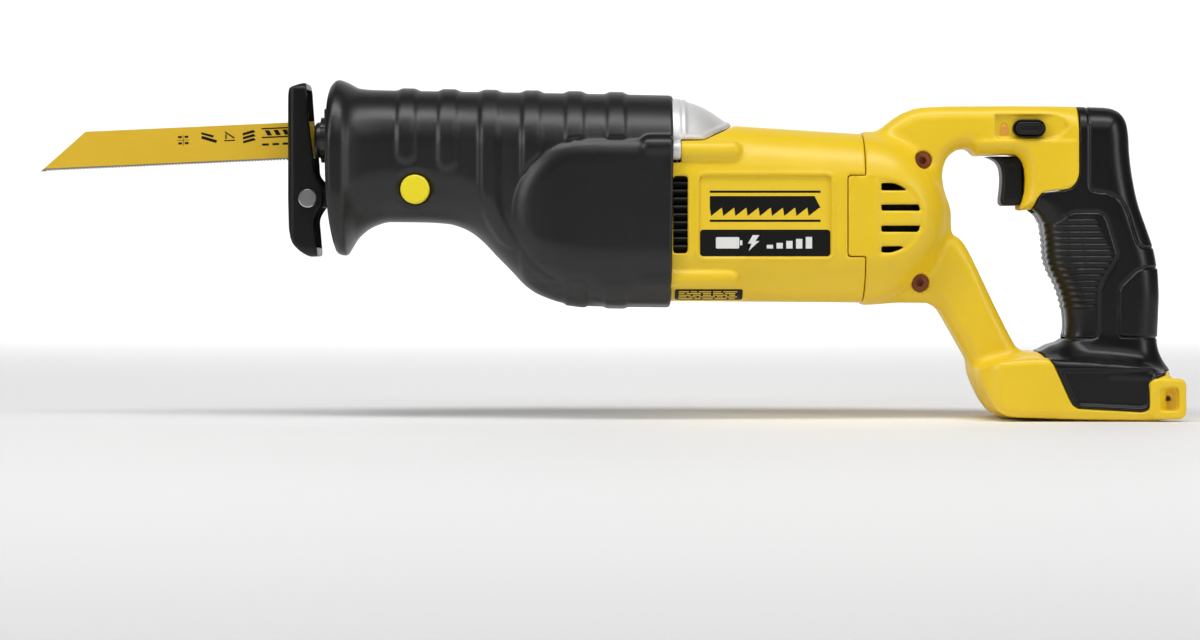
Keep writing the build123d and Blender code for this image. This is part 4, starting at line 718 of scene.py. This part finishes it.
def lugField(x, y, z):  # the square lugs behind the foot
    ring = slab(roundRect(x - lug["x"], z - lug["z"], lug["halfX"], lug["halfZ"], 3.6),
                np.abs(np.abs(y) - lug["middleY"]) - lug["halfY"], 1.3)
    pocket = np.maximum(roundRect(x - lug["x"] - 0.6, z - lug["z"] + 0.2, 4.7, 5.6, 1.8),
                        lug["floorY"] - np.abs(y))
    hole = np.hypot(x - lug["holeX"], z - lug["holeZ"]) - lug["holeR"]
    return smoothCut(smoothCut(ring, pocket, 0.8), hole, 0.4)


def blackArea(x, y, z):  # where the black overmould lies
    area = outlineDistance(x, z, handle["seam"])
    keep = np.minimum(27.6 - z, handle["inlayDepth"] - np.abs(y))
    return np.maximum(area, np.minimum(keep, np.maximum(246 - x, 20.5 - z)))


def shellField(side):
    def field(x, y, z):
        body = handleForm(x, y, z)
        body = smoothCut(body, blackArea(x, y, z) - 0.16, 0.7)
        body = smoothUnion(body, lugField(x, y, z), 1.5)
        seam = motor["seamX"] + 0.15 - x
        tab = np.maximum(tabArea(x, z, -0.45), 31 - np.abs(y))
        body = smoothMeet(body, np.minimum(seam, tab), 0.7)
        vent = ventArea(x, z)
        body = body + 0.9 * ramp(0.6, -0.6, vent) * ramp(20, 26, np.abs(y))
        lifted = np.maximum(tabArea(x, z, -1.4), x - 131.4)
        body = body + 0.45 * ramp(0.7, -0.3, lifted) * ramp(24, 30, np.abs(y))
        for slotZ, slotHalf in ((115.4, 1.75), (105.1, 1.5), (94.7, 1.5), (84.6, 1.5)):
            slot = np.maximum(np.maximum(np.abs(z - slotZ) - slotHalf, vent + 1.0), 22 - np.abs(y))
            body = smoothCut(body, slot, 0.6)
        hollow = np.maximum(motorForm(x, y, z, 3.2), np.maximum(112 - x, x - 164))
        hollow = np.maximum(hollow, outlineDistance(x, z, handle["hollow"]))
        body = smoothCut(body, hollow, 0.8)
        body = smoothCut(smoothCut(body, boxField(x, y, z, *triggerSlot), 0.5),
                         boxField(x, y, z, *switchBay), 0.5)
        pocket = outlineDistance(x, z, [(192.6, 151.6), (192.6, 141.4), (194, 139.9),
                                        *bend([(219, 139.9), (224.5, 141.2), (228.6, 145.7), (224.5, 150.2),
                                               (219, 151.6)])])
        floor = 13.1 + 2.6 * ramp(214, 229, x)
        body = smoothCut(body, np.maximum(pocket, floor - np.abs(y)), 0.8)
        lockHole = roundRect(x - 209.5, z - 144.9, 7.3, 3.5, 3.5)
        body = smoothCut(body, lockHole, 0.4)
        for screwX, _, screwZ in screws["places"][:2]:
            bore = np.hypot(x - screwX, z - screwZ)
            if side < 0:
                body = smoothCut(body, np.maximum(bore - screws["recessR"], y + 12.4), 0.5)
            else:
                body = smoothCut(body, np.maximum(bore - 2.6, 12.5 - y), 0.6)
        return smoothMeet(body, side * -y + 0.12, 0.6)
    return field


lowCorner, highCorner = (116, -42, 0), (287, 0.5, 158)
skin("handleShellLeft", shellField(-1), lowCorner, highCorner, handle["cell"], yellowNylon, "housing",
     ["handle_shell_left"])
skin("handleShellRight", shellField(1), (116, -0.5, 0), (287, 42, 158), handle["cell"], yellowNylon,
     "housing",
     ["handle_shell_right"])

gripLines = [
    [(239.2, 160), (239.2, 116), (240.2, 113.9), (242.5, 113.2), (248, 112.6), (252.5, 110.8), (256.5, 107),
     (259, 102), (261.3, 93.5), (263, 87.8), (265.5, 85.6), (280, 85.4)],
    [(280, 75.6), (266, 75.2), (262.5, 73.6), (255.2, 66.4), (254.2, 64), (253.6, 42.8), (254.8, 41),
     (280, 40)],
    [(212, 97.8), (220, 97.2), (223.5, 98.4), (229, 102), (232, 103), (243.5, 103), (246.5, 101.6),
     (248.2, 98.5), (253.2, 82), (252.6, 79), (246, 68.6), (244.4, 64), (244.4, 44), (243, 40.8),
     (240.5, 40), (212, 40)],
]
ribArea = [(216, 93), (229.5, 100.6), (241.5, 100.8), (250.8, 81.8), (250, 79.4), (243, 68.5),
           (241.6, 54.5), (212, 54.5)]


def gripField(x, y, z):
    body = handleForm(x, y, z)
    area = outlineDistance(x, z, handle["seam"])
    for line in gripLines:
        body = body + 0.7 * ramp(0.75, 0.1, lineDistance(x, z, line))
    ribs = 0.5 + 0.5 * np.cos((z - 98.6) * 2 * math.pi / 3.06)
    body = body + (0.15 - 0.75 * ribs**2) * ramp(0.6, -0.9, outlineDistance(x, z, ribArea))
    body = body - 0.5 * ramp(0.5, -0.8, outlineDistance(x, z, gripLines[1][1:-1] + [(275, 41), (275, 75)]))
    frame = np.maximum(area, z - 27.0)
    body = body + 1.3 * ramp(-1.2, -2.7, frame) * ramp(30, 33, np.abs(y))
    body = smoothMeet(body, blackArea(x, y, z) + 0.16, 0.7)
    body = smoothCut(smoothCut(body, boxField(x, y, z, *triggerSlot), 0.5), boxField(x, y, z, *switchBay),
                     0.5)
    core = slab(outlineDistance(x, z, [(226, 24), (262, 24), (262, 60), (258, 110), (246, 146), (239, 146),
                                       (239, 118), (232, 108), (232, 60)]),
                np.abs(y) - 9.0, 3.0)
    body = smoothCut(body, core, 0.8)
    return smoothMeet(body, y + 0.12, 0.6)


_, _, gripShape = skin("gripLeft", gripField, (209, -39, 3), (279, 0.5, 158), handle["gripCell"], gripRubber,
                       "housing",
                       ["grip_left"])
mirrored("gripRight", gripShape, gripRubber, "housing", ["grip_right"])
print("handle ready")

# trigger and lock button
triggerOutline = (bend([(187.6, 131.2), (191, 130.4), (194, 128.9), (196.2, 126), (197.0, 121),
                        (196.8, 115), (196.2, 110), (196.3, 107.7)])
                  + [(197.4, 106.4), (205.6, 106.5), (207.9, 108.5), (207.95, 131.2)])


def triggerField(x, y, z):
    body = slab(outlineDistance(x, z, triggerOutline), np.abs(y) - 8.0, 2.2)
    groove = np.abs(outlineDistance(x, z, triggerOutline) + 3.6)
    body = body - 0.25 * ramp(0.8, 0.0, groove) * ramp(5, 7, np.abs(y))
    around = np.hypot(y, z - 128)
    body = smoothCut(body, np.maximum(around - 4.3, 202.4 - x), 0.4)  # room for the spring
    return np.minimum(body, np.maximum(around - 2.4, np.abs(x - 208.6) - 7.0))


def coilSpring(name, sizes, start, end, body, cadName):  # a fixed steel coil from start to end, on the given body, in place of the CAD node
    start, end = np.array(start, float), np.array(end, float)
    length = np.linalg.norm(end - start)
    axis = (end - start) / length
    side = np.cross(axis, (0, 0, 1))
    across = np.cross(axis, side)
    steps, ringSides = int(sizes["turns"] * 20), 8
    along = np.linspace(sizes["wire"], length - sizes["wire"], steps + 1)
    turn = np.linspace(0, 2 * math.pi * sizes["turns"], steps + 1)
    out = np.outer(np.cos(turn), side) + np.outer(np.sin(turn), across)
    angle = np.arange(ringSides) * 2 * math.pi / ringSides
    rings = (start + np.outer(along, axis) + sizes["radius"] * out)[:, None, :] + sizes["wire"] * (
        np.cos(angle)[None, :, None] * out[:, None, :] + np.sin(angle)[None, :, None] * axis)
    faces = [(i * ringSides + j, i * ringSides + (j + 1) % ringSides,
              (i + 1) * ringSides + (j + 1) % ringSides,
              (i + 1) * ringSides + j) for i in range(steps) for j in range(ringSides)]
    faces += [tuple(range(ringSides))[::-1], tuple(range(steps * ringSides, (steps + 1) * ringSides))]
    mesh = bpy.data.meshes.new(name)
    mesh.from_pydata((rings.reshape(-1, 3) * mm).tolist(), [], faces)
    work = bmesh.new()
    work.from_mesh(mesh)
    bmesh.ops.recalc_face_normals(work, faces=work.faces)
    work.to_mesh(mesh)
    work.free()
    mesh.polygons.foreach_set("use_smooth", np.ones(len(faces), bool))
    piece = bpy.data.objects.new(name, mesh)
    scene.collection.objects.link(piece)
    mesh.materials.append(brightSteel)
    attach(piece, body)
    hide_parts(cadName)
    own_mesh(piece)


triggerSpring = {"radius": 3.5, "wire": 0.32, "turns": 5}
coilSpring("triggerSpring", triggerSpring, (202.6, 0, 128), (214.1, 0, 128), "housing",
           "trigger_spring")
low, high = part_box("shoe_button_spring")
shoeSpringBody = body_of(frame["nodes"]["shoe_button_spring"])[0]
middle = (low + high) / 2 / mm
buttonSpring = {"radius": (high[0] - low[0]) / mm / 2 - 0.4, "wire": 0.35, "turns": 4}
coilSpring("shoeButtonSpring", buttonSpring, (middle[0], low[1] / mm, middle[2]),
           (middle[0], high[1] / mm, middle[2]),
           shoeSpringBody, "shoe_button_spring")
skin("triggerLever", triggerField, (187, -9, 105), (217, 9, 132), 0.55, blackNylon, "trigger",
     ["trigger"])


def lockField(x, y, z):
    body = slab(roundRect(x - 209.5, z - 144.9, 7.0, 3.2, 3.2), np.abs(y + 1.5) - 17.0, 0.7)
    dish = roundRect(x - 209.5, z - 144.9, 5.2, 1.7, 1.7)
    return body + 0.45 * ramp(0.6, -0.6, dish) * ramp(15, 16.5, np.abs(y + 1.5))


def lockCollarField(x, y, z):
    ring = np.abs(roundRect(x - 209.5, z - 144.9, 7.75, 3.95, 3.95)) - 0.5
    return slab(ring, np.abs(np.abs(y) - 14.6) - 1.3, 0.35)


skin("lockButton", lockField, (202, -19, 141), (217, 16, 149), 0.5, blackNylon, "lock_button",
     ["lock_button"])
skin("lockCollar", lockCollarField, (201, -17, 140), (218, 17, 150), 0.5, blackNylon, "housing")

# shoe
shoe = {
    "cell": 0.7, "half": 17.0, "sheet": 2.7,
    "side": bend([(-160.5, 156), (-160.3, 162.2), (-159.2, 165.3), (-156, 166.8), (-152.6, 167.9),
                  (-151.2, 167.6), (-150.6, 165)], 4)
    + [(-149.4, 148.5), (-147.2, 131)] + bend([(-146.8, 126), (-146.2, 121.5), (-143, 117.2), (-142, 112),
                                               (-142.2, 107.2), (-144.6, 103.6), (-146.4, 100),
                                               (-146.6, 97)], 3)
    + [(-145.4, 83.4)] + bend([(-145.2, 81.4), (-146.6, 80.7), (-150, 81.1), (-155, 84.4), (-158.4, 88.6),
                               (-159.9, 95)], 4)
    + [(-160.5, 110)],
}


def shoeField(x, y, z):
    body = slab(outlineDistance(x, z, shoe["side"]), np.abs(y) - shoe["half"], 1.5)
    inside = boxField(x, y, z, (-157.6, -shoe["half"] + shoe["sheet"], 85.5),
                      (-120, shoe["half"] - shoe["sheet"], 164.6))
    body = smoothCut(body, inside, 1.6)
    slot = np.maximum(roundRect(y, z - 139, 5.5, 20, 4.5), x + 150)
    body = smoothCut(body, slot, 1.0)
    ends = roundRect(y, z - 124.3, 17.2, 43.8, 6.0)
    bends = roundRect(x + 130.6, y, 30.0, shoe["half"] + 0.05, 5.0)
    return smoothMeet(smoothMeet(body, ends, 1.0), bends, 0.8)


skin("shoePlate", shoeField, (-161, -17.5, 80), (-141, 17.5, 169), shoe["cell"], shoeBlack, "shoe",
     ["shoe"])
print("shoe and trigger ready")


# screws and louvres repeat by geometry nodes
def nodeTree(name, sizes):
    tree = bpy.data.node_groups.new(name, "GeometryNodeTree")
    tree.interface.new_socket("Geometry", in_out="INPUT", socket_type="NodeSocketGeometry")
    kinds = {int: "Int", float: "Float"}
    ids = {label: tree.interface.new_socket(
        label, in_out="INPUT", socket_type="NodeSocket" + kinds.get(type(value), "Material")).identifier
        for label, value in sizes.items()}
    tree.interface.new_socket("Geometry", in_out="OUTPUT", socket_type="NodeSocketGeometry")
    return tree, tree.nodes.new("NodeGroupInput"), tree.nodes.new("NodeGroupOutput"), ids


def growPiece(name, tree, ids, sizes, places, material, body, nodes=()):  # places in millimetres
    seed = meshObjectPoints(name + "Seed", places)
    modifier = seed.modifiers.new("grow", "NODES")
    modifier.node_group = tree
    for label, value in {**sizes, "Finish": material}.items():
        modifier[ids[label]] = value
    bpy.context.view_layer.update()
    result = bpy.data.meshes.new_from_object(seed.evaluated_get(bpy.context.evaluated_depsgraph_get()))
    bpy.data.objects.remove(seed)
    result.name = name
    piece = bpy.data.objects.new(name, result)
    scene.collection.objects.link(piece)
    piece.data.materials.clear()
    return settle(piece, material, body, nodes)


def meshObjectPoints(name, places):
    mesh = bpy.data.meshes.new(name)
    mesh.from_pydata([tuple(c * mm for c in p) for p in places], [], [])
    piece = bpy.data.objects.new(name, mesh)
    scene.collection.objects.link(piece)
    return piece


def closeTree(tree, start, end, spread):  # real meshes with their finish
    real = addNode(tree, "GeometryNodeRealizeInstances", {}, {"Geometry": spread.outputs["Instances"]})
    painted = addNode(tree, "GeometryNodeSetMaterial", {},
                      {"Geometry": real.outputs["Geometry"], "Material": start.outputs["Finish"]})
    tree.links.new(painted.outputs["Geometry"], end.inputs["Geometry"])


def makeScrewTree():  # a dished head with a six-lobed socket, at each point, facing -Y
    tree, start, end, ids = nodeTree("screwRow", {**screws["sizes"], "Finish": bronzeCoat})
    head = addNode(tree, "GeometryNodeMeshCylinder", {"Vertices": 48},
                   {"Radius": start.outputs["HeadRadius"], "Depth": start.outputs["HeadHeight"]})
    star = addNode(tree, "GeometryNodeCurveStar", {"Points": 6},
                   {"Outer Radius": start.outputs["SocketOuter"],
                    "Inner Radius": start.outputs["SocketInner"]})
    smooth = addNode(tree, "GeometryNodeFilletCurve", {"mode": "POLY", "Count": 3, "Radius": 0.35 * mm},
                     {"Curve": star.outputs["Curve"]})
    filled = addNode(tree, "GeometryNodeFillCurve", {}, {"Curve": smooth.outputs["Curve"]})
    push = addNode(tree, "GeometryNodeExtrudeMesh", {"mode": "FACES", "Individual": False},
                   {"Mesh": filled.outputs["Mesh"], "Offset Scale": start.outputs["SocketDepth"]})
    closed = addNode(tree, "GeometryNodeJoinGeometry")
    flipped = addNode(tree, "GeometryNodeFlipFaces", {}, {"Mesh": filled.outputs["Mesh"]})
    tree.links.new(flipped.outputs["Mesh"], closed.inputs["Geometry"])
    tree.links.new(push.outputs["Mesh"], closed.inputs["Geometry"])
    merged = addNode(tree, "GeometryNodeMergeByDistance", {"Distance": 1e-6},
                     {"Geometry": closed.outputs["Geometry"]})
    lift = addNode(tree, "ShaderNodeCombineXYZ")
    half = mathNode(tree, "MULTIPLY", start.outputs["HeadHeight"], 0.5)
    sunk = mathNode(tree, "MULTIPLY", start.outputs["SocketDepth"], 0.999)
    tree.links.new(mathNode(tree, "SUBTRACT", half, sunk), lift.inputs["Z"])
    raised = addNode(tree, "GeometryNodeTransform", {},
                     {"Geometry": merged.outputs["Geometry"], "Translation": lift.outputs["Vector"]})
    drilled = addNode(tree, "GeometryNodeMeshBoolean", {"operation": "DIFFERENCE"},
                      {"Mesh 1": head.outputs["Mesh"], "Mesh 2": raised.outputs["Geometry"]})
    shank = addNode(tree, "GeometryNodeMeshCylinder", {"Vertices": 20},
                    {"Radius": start.outputs["ShankRadius"], "Depth": start.outputs["ShankLength"]})
    drop = addNode(tree, "ShaderNodeCombineXYZ")
    reach = mathNode(tree, "ADD", start.outputs["ShankLength"], start.outputs["HeadHeight"])
    tree.links.new(mathNode(tree, "MULTIPLY", reach, -0.5), drop.inputs["Z"])
    lowered = addNode(tree, "GeometryNodeTransform", {},
                      {"Geometry": shank.outputs["Mesh"], "Translation": drop.outputs["Vector"]})
    whole = addNode(tree, "GeometryNodeJoinGeometry")
    tree.links.new(drilled.outputs["Mesh"], whole.inputs["Geometry"])
    tree.links.new(lowered.outputs["Geometry"], whole.inputs["Geometry"])
    spread = addNode(tree, "GeometryNodeInstanceOnPoints", {"Rotation": (math.radians(90), 0, 0)},
                     {"Points": start.outputs["Geometry"], "Instance": whole.outputs["Geometry"]})
    closeTree(tree, start, end, spread)
    return tree, ids


screwTree, screwIds = makeScrewTree()
growPiece("handleScrews", screwTree, screwIds, screws["sizes"], screws["places"], bronzeCoat, "housing",
          ["handle_screws"])


louvres = {"Count": 10, "Pitch": 3.9 * mm, "Length": 7.0 * mm, "Depth": 6.4 * mm, "Height": 1.0 * mm,
           "Tilt": 0.72}


def makeSlatTree():  # slanted louvre slats stacked along Z
    tree, start, end, ids = nodeTree("louvreSlats", {**louvres, "Finish": blackNylon})
    step = addNode(tree, "ShaderNodeCombineXYZ", {}, {"Z": start.outputs["Pitch"]})
    row = addNode(tree, "GeometryNodeMeshLine", {"mode": "OFFSET"},
                  {"Count": start.outputs["Count"], "Offset": step.outputs["Vector"]})
    size = addNode(tree, "ShaderNodeCombineXYZ", {},
                   {"X": start.outputs["Length"], "Y": start.outputs["Depth"], "Z": start.outputs["Height"]})
    slat = addNode(tree, "GeometryNodeMeshCube", {}, {"Size": size.outputs["Vector"]})
    turn = addNode(tree, "ShaderNodeCombineXYZ", {}, {"X": start.outputs["Tilt"]})
    stack = addNode(tree, "GeometryNodeInstanceOnPoints", {},
                    {"Points": row.outputs["Mesh"], "Instance": slat.outputs["Mesh"],
                     "Rotation": turn.outputs["Vector"]})
    spread = addNode(tree, "GeometryNodeInstanceOnPoints", {},
                     {"Points": start.outputs["Geometry"], "Instance": stack.outputs["Instances"]})
    closeTree(tree, start, end, spread)
    return tree, ids


slatTree, slatIds = makeSlatTree()
for sideSign, sideName in sides:
    growPiece("ventGrille" + sideName, slatTree, slatIds, {**louvres, "Tilt": louvres["Tilt"] * sideSign},
              [(motor["grilleX"], sideSign * 33.4, 84.2)], blackNylon, "housing",
              ["vent_grille_" + sideName.lower()])
print("screws and louvres ready")


# printed marks are thin raised shapes that lie on a surface
def flatSide(y):  # a flat face at y, looking outward
    return lambda px, pz: (np.array([px, y, pz]), np.array([0, math.copysign(1, y), 0]))


def onSkin(grid, side):  # the outer side of a skin
    values, origin, cell = grid
    slopes = [np.gradient(values, cell, axis=i) for i in range(3)]
    ys = np.arange(41.5, 0, -0.25) * side

    def surface(px, pz):
        line = np.column_stack([np.full(len(ys), px), ys, np.full(len(ys), pz)])
        f = readGrid(values, origin, cell, line)
        k = max(1, int(np.argmax(f < 0)))
        point = line[k - 1] + (line[k] - line[k - 1]) * f[k - 1] / (f[k - 1] - f[k])
        normal = np.array([readGrid(g, origin, cell, point[None])[0] for g in slopes])
        return point, normal / np.linalg.norm(normal)
    return surface


def printMark(name, shapes, lift, surface, material, body, thickness=0.1, step=0.0):
    build = bmesh.new()  # shapes are outlines in X and Z
    for outline in shapes:
        build.faces.new([build.verts.new((px, 0, pz)) for px, pz in outline])
    if step:
        for axis, normal in ((0, (1, 0, 0)), (2, (0, 0, 1))):
            values = [v.co[axis] for v in build.verts]
            for place in np.arange(min(values) + step, max(values), step):
                spot = [0, 0, 0]
                spot[axis] = place
                everything = build.verts[:] + build.edges[:] + build.faces[:]
                bmesh.ops.bisect_plane(build, geom=everything, plane_co=spot, plane_no=normal)
    bmesh.ops.triangulate(build, faces=build.faces[:])
    build.verts.index_update()
    build.verts.ensure_lookup_table()
    placed = [surface(v.co.x, v.co.z) for v in build.verts]
    faces = [[v.index for v in f.verts] for f in build.faces]
    edges = [(e.verts[0].index, e.verts[1].index) for e in build.edges if len(e.link_faces) == 1]
    build.free()
    outer = [p + n * lift for p, n in placed]
    inner = [p + n * (lift - thickness) for p, n in placed]
    n = len(placed)
    walls = [[a, b, b + n] for a, b in edges] + [[a, b + n, a + n] for a, b in edges]
    piece = meshObject(name, outer + inner, faces + [[i + n for i in reversed(f)] for f in faces] + walls)
    tidy = bmesh.new()
    tidy.from_mesh(piece.data)
    bmesh.ops.recalc_face_normals(tidy, faces=tidy.faces)
    tidy.to_mesh(piece.data)
    tidy.free()
    piece.data.polygons.foreach_set("use_smooth", np.zeros(len(piece.data.polygons), bool))
    return settle(piece, material, body)


def rectangle(x0, z0, x1, z1, radius=0.0):
    if radius <= 0:
        return [(x0, z0), (x1, z0), (x1, z1), (x0, z1)]
    out = []
    for cx, cz, first in ((x1 - radius, z0 + radius, -90), (x1 - radius, z1 - radius, 0),
                          (x0 + radius, z1 - radius, 90),
                          (x0 + radius, z0 + radius, 180)):
        out += [(cx + radius * math.cos(math.radians(first + i * 22.5)),
                 cz + radius * math.sin(math.radians(first + i * 22.5)))
                for i in range(5)]
    return out


def toothStrip(x0, x1, baseZ, tipZ, count):  # a saw-tooth edge as separate teeth
    pitch = (x1 - x0) / count
    return [[(x0 + i * pitch, baseZ), (x0 + i * pitch + 0.6, tipZ),
             (x0 + (i + 1) * pitch - 0.25, baseZ)] for i in range(count)]


def labelShapes():
    band = [rectangle(44.7, 81.2, 108.8, 94.3, 1.6)]
    bold = [rectangle(49.5, 112.4, 104, 113.5), rectangle(49.5, 98.1, 104, 99.2)]
    bold += [[(49.5, 105.0), (104.0, 105.0), (101.0, 110.8), (49.5, 110.8)]]
    bold += toothStrip(49.5, 103.5, 105.0, 101.0, 9)
    light = [rectangle(52.5, 85.0, 64.0, 90.6, 0.6), rectangle(64.3, 86.6, 65.5, 89.0)]
    light += [[(70.6, 91.6), (74.0, 91.6), (71.9, 88.7), (73.9, 88.7), (68.6, 83.8), (70.0, 87.4),
               (68.2, 87.4)]]
    light += [rectangle(77.5 + i * 4.8, 85.0, 80.6 + i * 4.8, 86.8 + i * 0.98) for i in range(5)]
    return band, bold, light


def ratingShapes():  # rows of short bars
    rows = []
    for row in range(5):
        x0 = 34.5
        for width in ((5, 3, 6, 4, 7), (3, 7, 4, 5, 5), (6, 4, 4, 7, 3), (4, 4, 8, 3, 6),
                      (7, 3, 5, 6, 3))[row]:
            rows.append(rectangle(x0, 63.5 - row * 0.86, x0 + width, 63.9 - row * 0.86))
            x0 += width + 1.0
    return rows


bandShapes, boldShapes, lightShapes = labelShapes()
for sideSign, sideName in sides:
    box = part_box("label_" + sideName.lower())
    face = flatSide((box[0][1] if sideSign < 0 else box[1][1]) / mm)
    turned = (lambda shapes: shapes) if sideSign < 0 else (
        lambda shapes: [[(153.5 - px, pz) for px, pz in o] for o in shapes])
    printMark("labelBand" + sideName, turned(bandShapes), 0.05, face, inkBlack, "housing")
    printMark("labelSaw" + sideName, turned(boldShapes), 0.05, face, inkBlack, "housing")
    printMark("labelSigns" + sideName, turned(lightShapes), 0.12, face, inkWhite, "housing")
print("label ready")

lowSide = onSkin(housingGrid, -1)
printMark("ratingPlate", [rectangle(32.6, 59.6, 66.2, 64.9, 1.0)], 0.12, lowSide, inkBlack, "housing",
          0.25, 1.2)
printMark("ratingRows", ratingShapes(), 0.2, lowSide, labelYellow, "housing", 0.15, 2.5)


def shackle(cx, cz, outer, inner):  # the loop of the padlock sign, in short straight pieces
    out = []
    for i in range(8):
        a, b = math.pi * i / 8, math.pi * (i + 1) / 8
        out.append([(cx + r * math.cos(t), cz + r * math.sin(t)) for r,
                    t in ((inner, a), (outer, a), (outer, b), (inner, b))])
    return out


lockSign = [rectangle(195.2, 142.0, 199.4, 145.9, 0.7)] + shackle(197.3, 146.4, 1.75, 1.15)
lockSign += [rectangle(195.55, 145.9, 196.15, 146.4), rectangle(198.45, 145.9, 199.05, 146.4)]
for sideSign, sideName in sides:
    printMark("lockSign" + sideName, lockSign, 0.25, flatSide(13.1 * sideSign), inkOchre, "housing",
              0.4)


def bladeShapes():  # u runs from the clamp to the tip, v across the blade
    shapes = [rectangle(63.5, 2.9, 69.5, 3.15), rectangle(66.4, 0.2, 66.65, 5.6)]
    shapes += [rectangle(u, v, u + 1.9, v + 1.1) for u in (63.9, 67.2) for v in (0.9, 4.1)]
    shapes += [[(50.0, 0.8), (57.5, 3.4), (57.0, 4.8), (49.5, 2.2)],
               [(51.5, 3.6), (57.5, 5.6), (57.2, 6.6), (51.0, 4.7)]]
    shapes += [[(40.6, 1.5), (46.0, 1.5), (46.0, 2.1), (40.6, 2.1)],
               [(41.0, 2.6), (45.6, 6.0), (45.2, 6.5), (40.6, 3.2)],
               [(44.6, 2.6), (45.3, 2.6), (45.3, 5.0), (44.6, 5.0)]]
    shapes += [[(30.0, z), (36.5, z - 1.4), (36.5, z - 0.2), (31.0, z + 1.2)] for z in (1.4, 3.4, 5.4)]
    shapes += [rectangle(8.0, 2.2, 27.0, 2.9), rectangle(8.0, 6.6, 27.0, 7.3)]
    shapes += [[(8.5 + i * 4.4, 3.4), (10.8 + i * 4.4, 3.4), (12.2 + i * 4.4, 6.1),
                (9.9 + i * 4.4, 6.1)] for i in range(4)]
    shapes += [rectangle(8.0 + i * 5.2, -1.6, 11.4 + i * 5.2, -0.5) for i in range(4)]
    return shapes


def onBlade(shapes):
    tilt = math.radians(blade["tilt"])
    return [[(blade["clampX"] - u * math.cos(tilt) - v * math.sin(tilt),
              blade["spindleZ"] - u * math.sin(tilt) + v * math.cos(tilt))
             for u, v in outline][::-1] for outline in shapes]


for sideSign, sideName in sides:
    printMark("bladeMarks" + sideName, onBlade(bladeShapes()), 0.03, flatSide(0.475 * sideSign), inkBlack,
              "blade",
              0.05)


def ventShadeBlockField(x, y, z):  # a dark block behind the side vents, painted shade that makes the slots look black inside
    body = slab(ventArea(x - 0.5, z, -0.6), np.abs(y) - 24.0, 2.5)
    return body + 0.5 * ramp(0.4, -0.4, np.abs(np.mod(x + z, 5.0) - 2.5) - 0.7)


# the dark block stands in for the shade inside the vent slots
skin("ventShadeBlock", ventShadeBlockField, (132, -25, 80), (155, 25, 121), 0.8, blackNylon, "housing")
print("marks ready")

# camera, floor and light
camera = {"distance": 1.6, "width": 0.604, "x": -4.5 * mm, "z": 86 * mm, "lookZ": 49 * mm}
cameraData = bpy.data.cameras.new("camera")
cameraObject = bpy.data.objects.new("camera", cameraData)
scene.collection.objects.link(cameraObject)
cameraData.lens = 36.0 * camera["distance"] / camera["width"]
cameraData.sensor_width = 36.0
cameraData.shift_y = (camera["lookZ"] - camera["z"]) / camera["width"]
cameraObject.location = (camera["x"], -camera["distance"], camera["z"])
cameraObject.rotation_euler = (math.radians(90), 0, 0)
scene.camera = cameraObject
scene.view_settings.view_transform = "Standard"


def stageMesh():  # a pale floor that curves up behind
    profile = [(-5.0, 0.0), (3.6, 0.0)]
    profile += [(3.6 + 1.2 * math.sin(a), 1.2 - 1.2 * math.cos(a)) for a in np.linspace(0.1, math.pi / 2, 14)]
    profile += [(4.8, 5.0)]
    verts = [(side * 5.0, py, pz - 0.0004) for py, pz in profile for side in (-1, 1)]
    faces = [(2 * i, 2 * i + 1, 2 * i + 3, 2 * i + 2) for i in range(len(profile) - 1)]
    mesh = bpy.data.meshes.new("paleStage")
    mesh.from_pydata(verts, [], faces)
    mesh.polygons.foreach_set("use_smooth", np.ones(len(faces), bool))
    return bpy.data.objects.new("paleStage", mesh)


stage = stageMesh()
scene.collection.objects.link(stage)
stageWhite = bpy.data.materials.new("stageWhite")
stageWhite.use_nodes = True
stageWhite.node_tree.nodes["Principled BSDF"].inputs["Base Color"].default_value = (0.92, 0.92, 0.92, 1)
stageWhite.node_tree.nodes["Principled BSDF"].inputs["Roughness"].default_value = 0.7
stage.data.materials.append(stageWhite)

world = bpy.data.worlds.new("softRoom")
scene.world = world
world.use_nodes = True
world.node_tree.nodes["Background"].inputs["Color"].default_value = (1.0, 1.0, 1.0, 1)
world.node_tree.nodes["Background"].inputs["Strength"].default_value = 0.06


def softLight(name, place, aim, size, power):
    data = bpy.data.lights.new(name, "AREA")
    data.shape = "RECTANGLE"
    data.size, data.size_y = size
    data.energy = power
    lamp = bpy.data.objects.new(name, data)
    scene.collection.objects.link(lamp)
    lamp.location = place
    lamp.rotation_euler = (Vector(aim) - Vector(place)).to_track_quat("-Z", "Y").to_euler()


softLight("topSoftbox", (0.0, -0.50, 1.25), (0, 0, 0.1), (1.8, 0.38), 14)
softLight("leftSoftbox", (-1.5, -1.1, 0.75), (-0.05, 0, 0.1), (0.5, 0.9), 9)
softLight("frontSoftbox", (0.4, -1.5, 1.3), (0, 0, 0.1), (1.2, 0.4), 3)
softLight("rightSoftbox", (1.3, -0.7, 0.5), (0.1, 0, 0.1), (0.35, 0.8), 4)
softLight("backdropWash", (0.0, 1.9, 2.4), (0.0, 4.2, 0.3), (4.0, 1.6), 130)
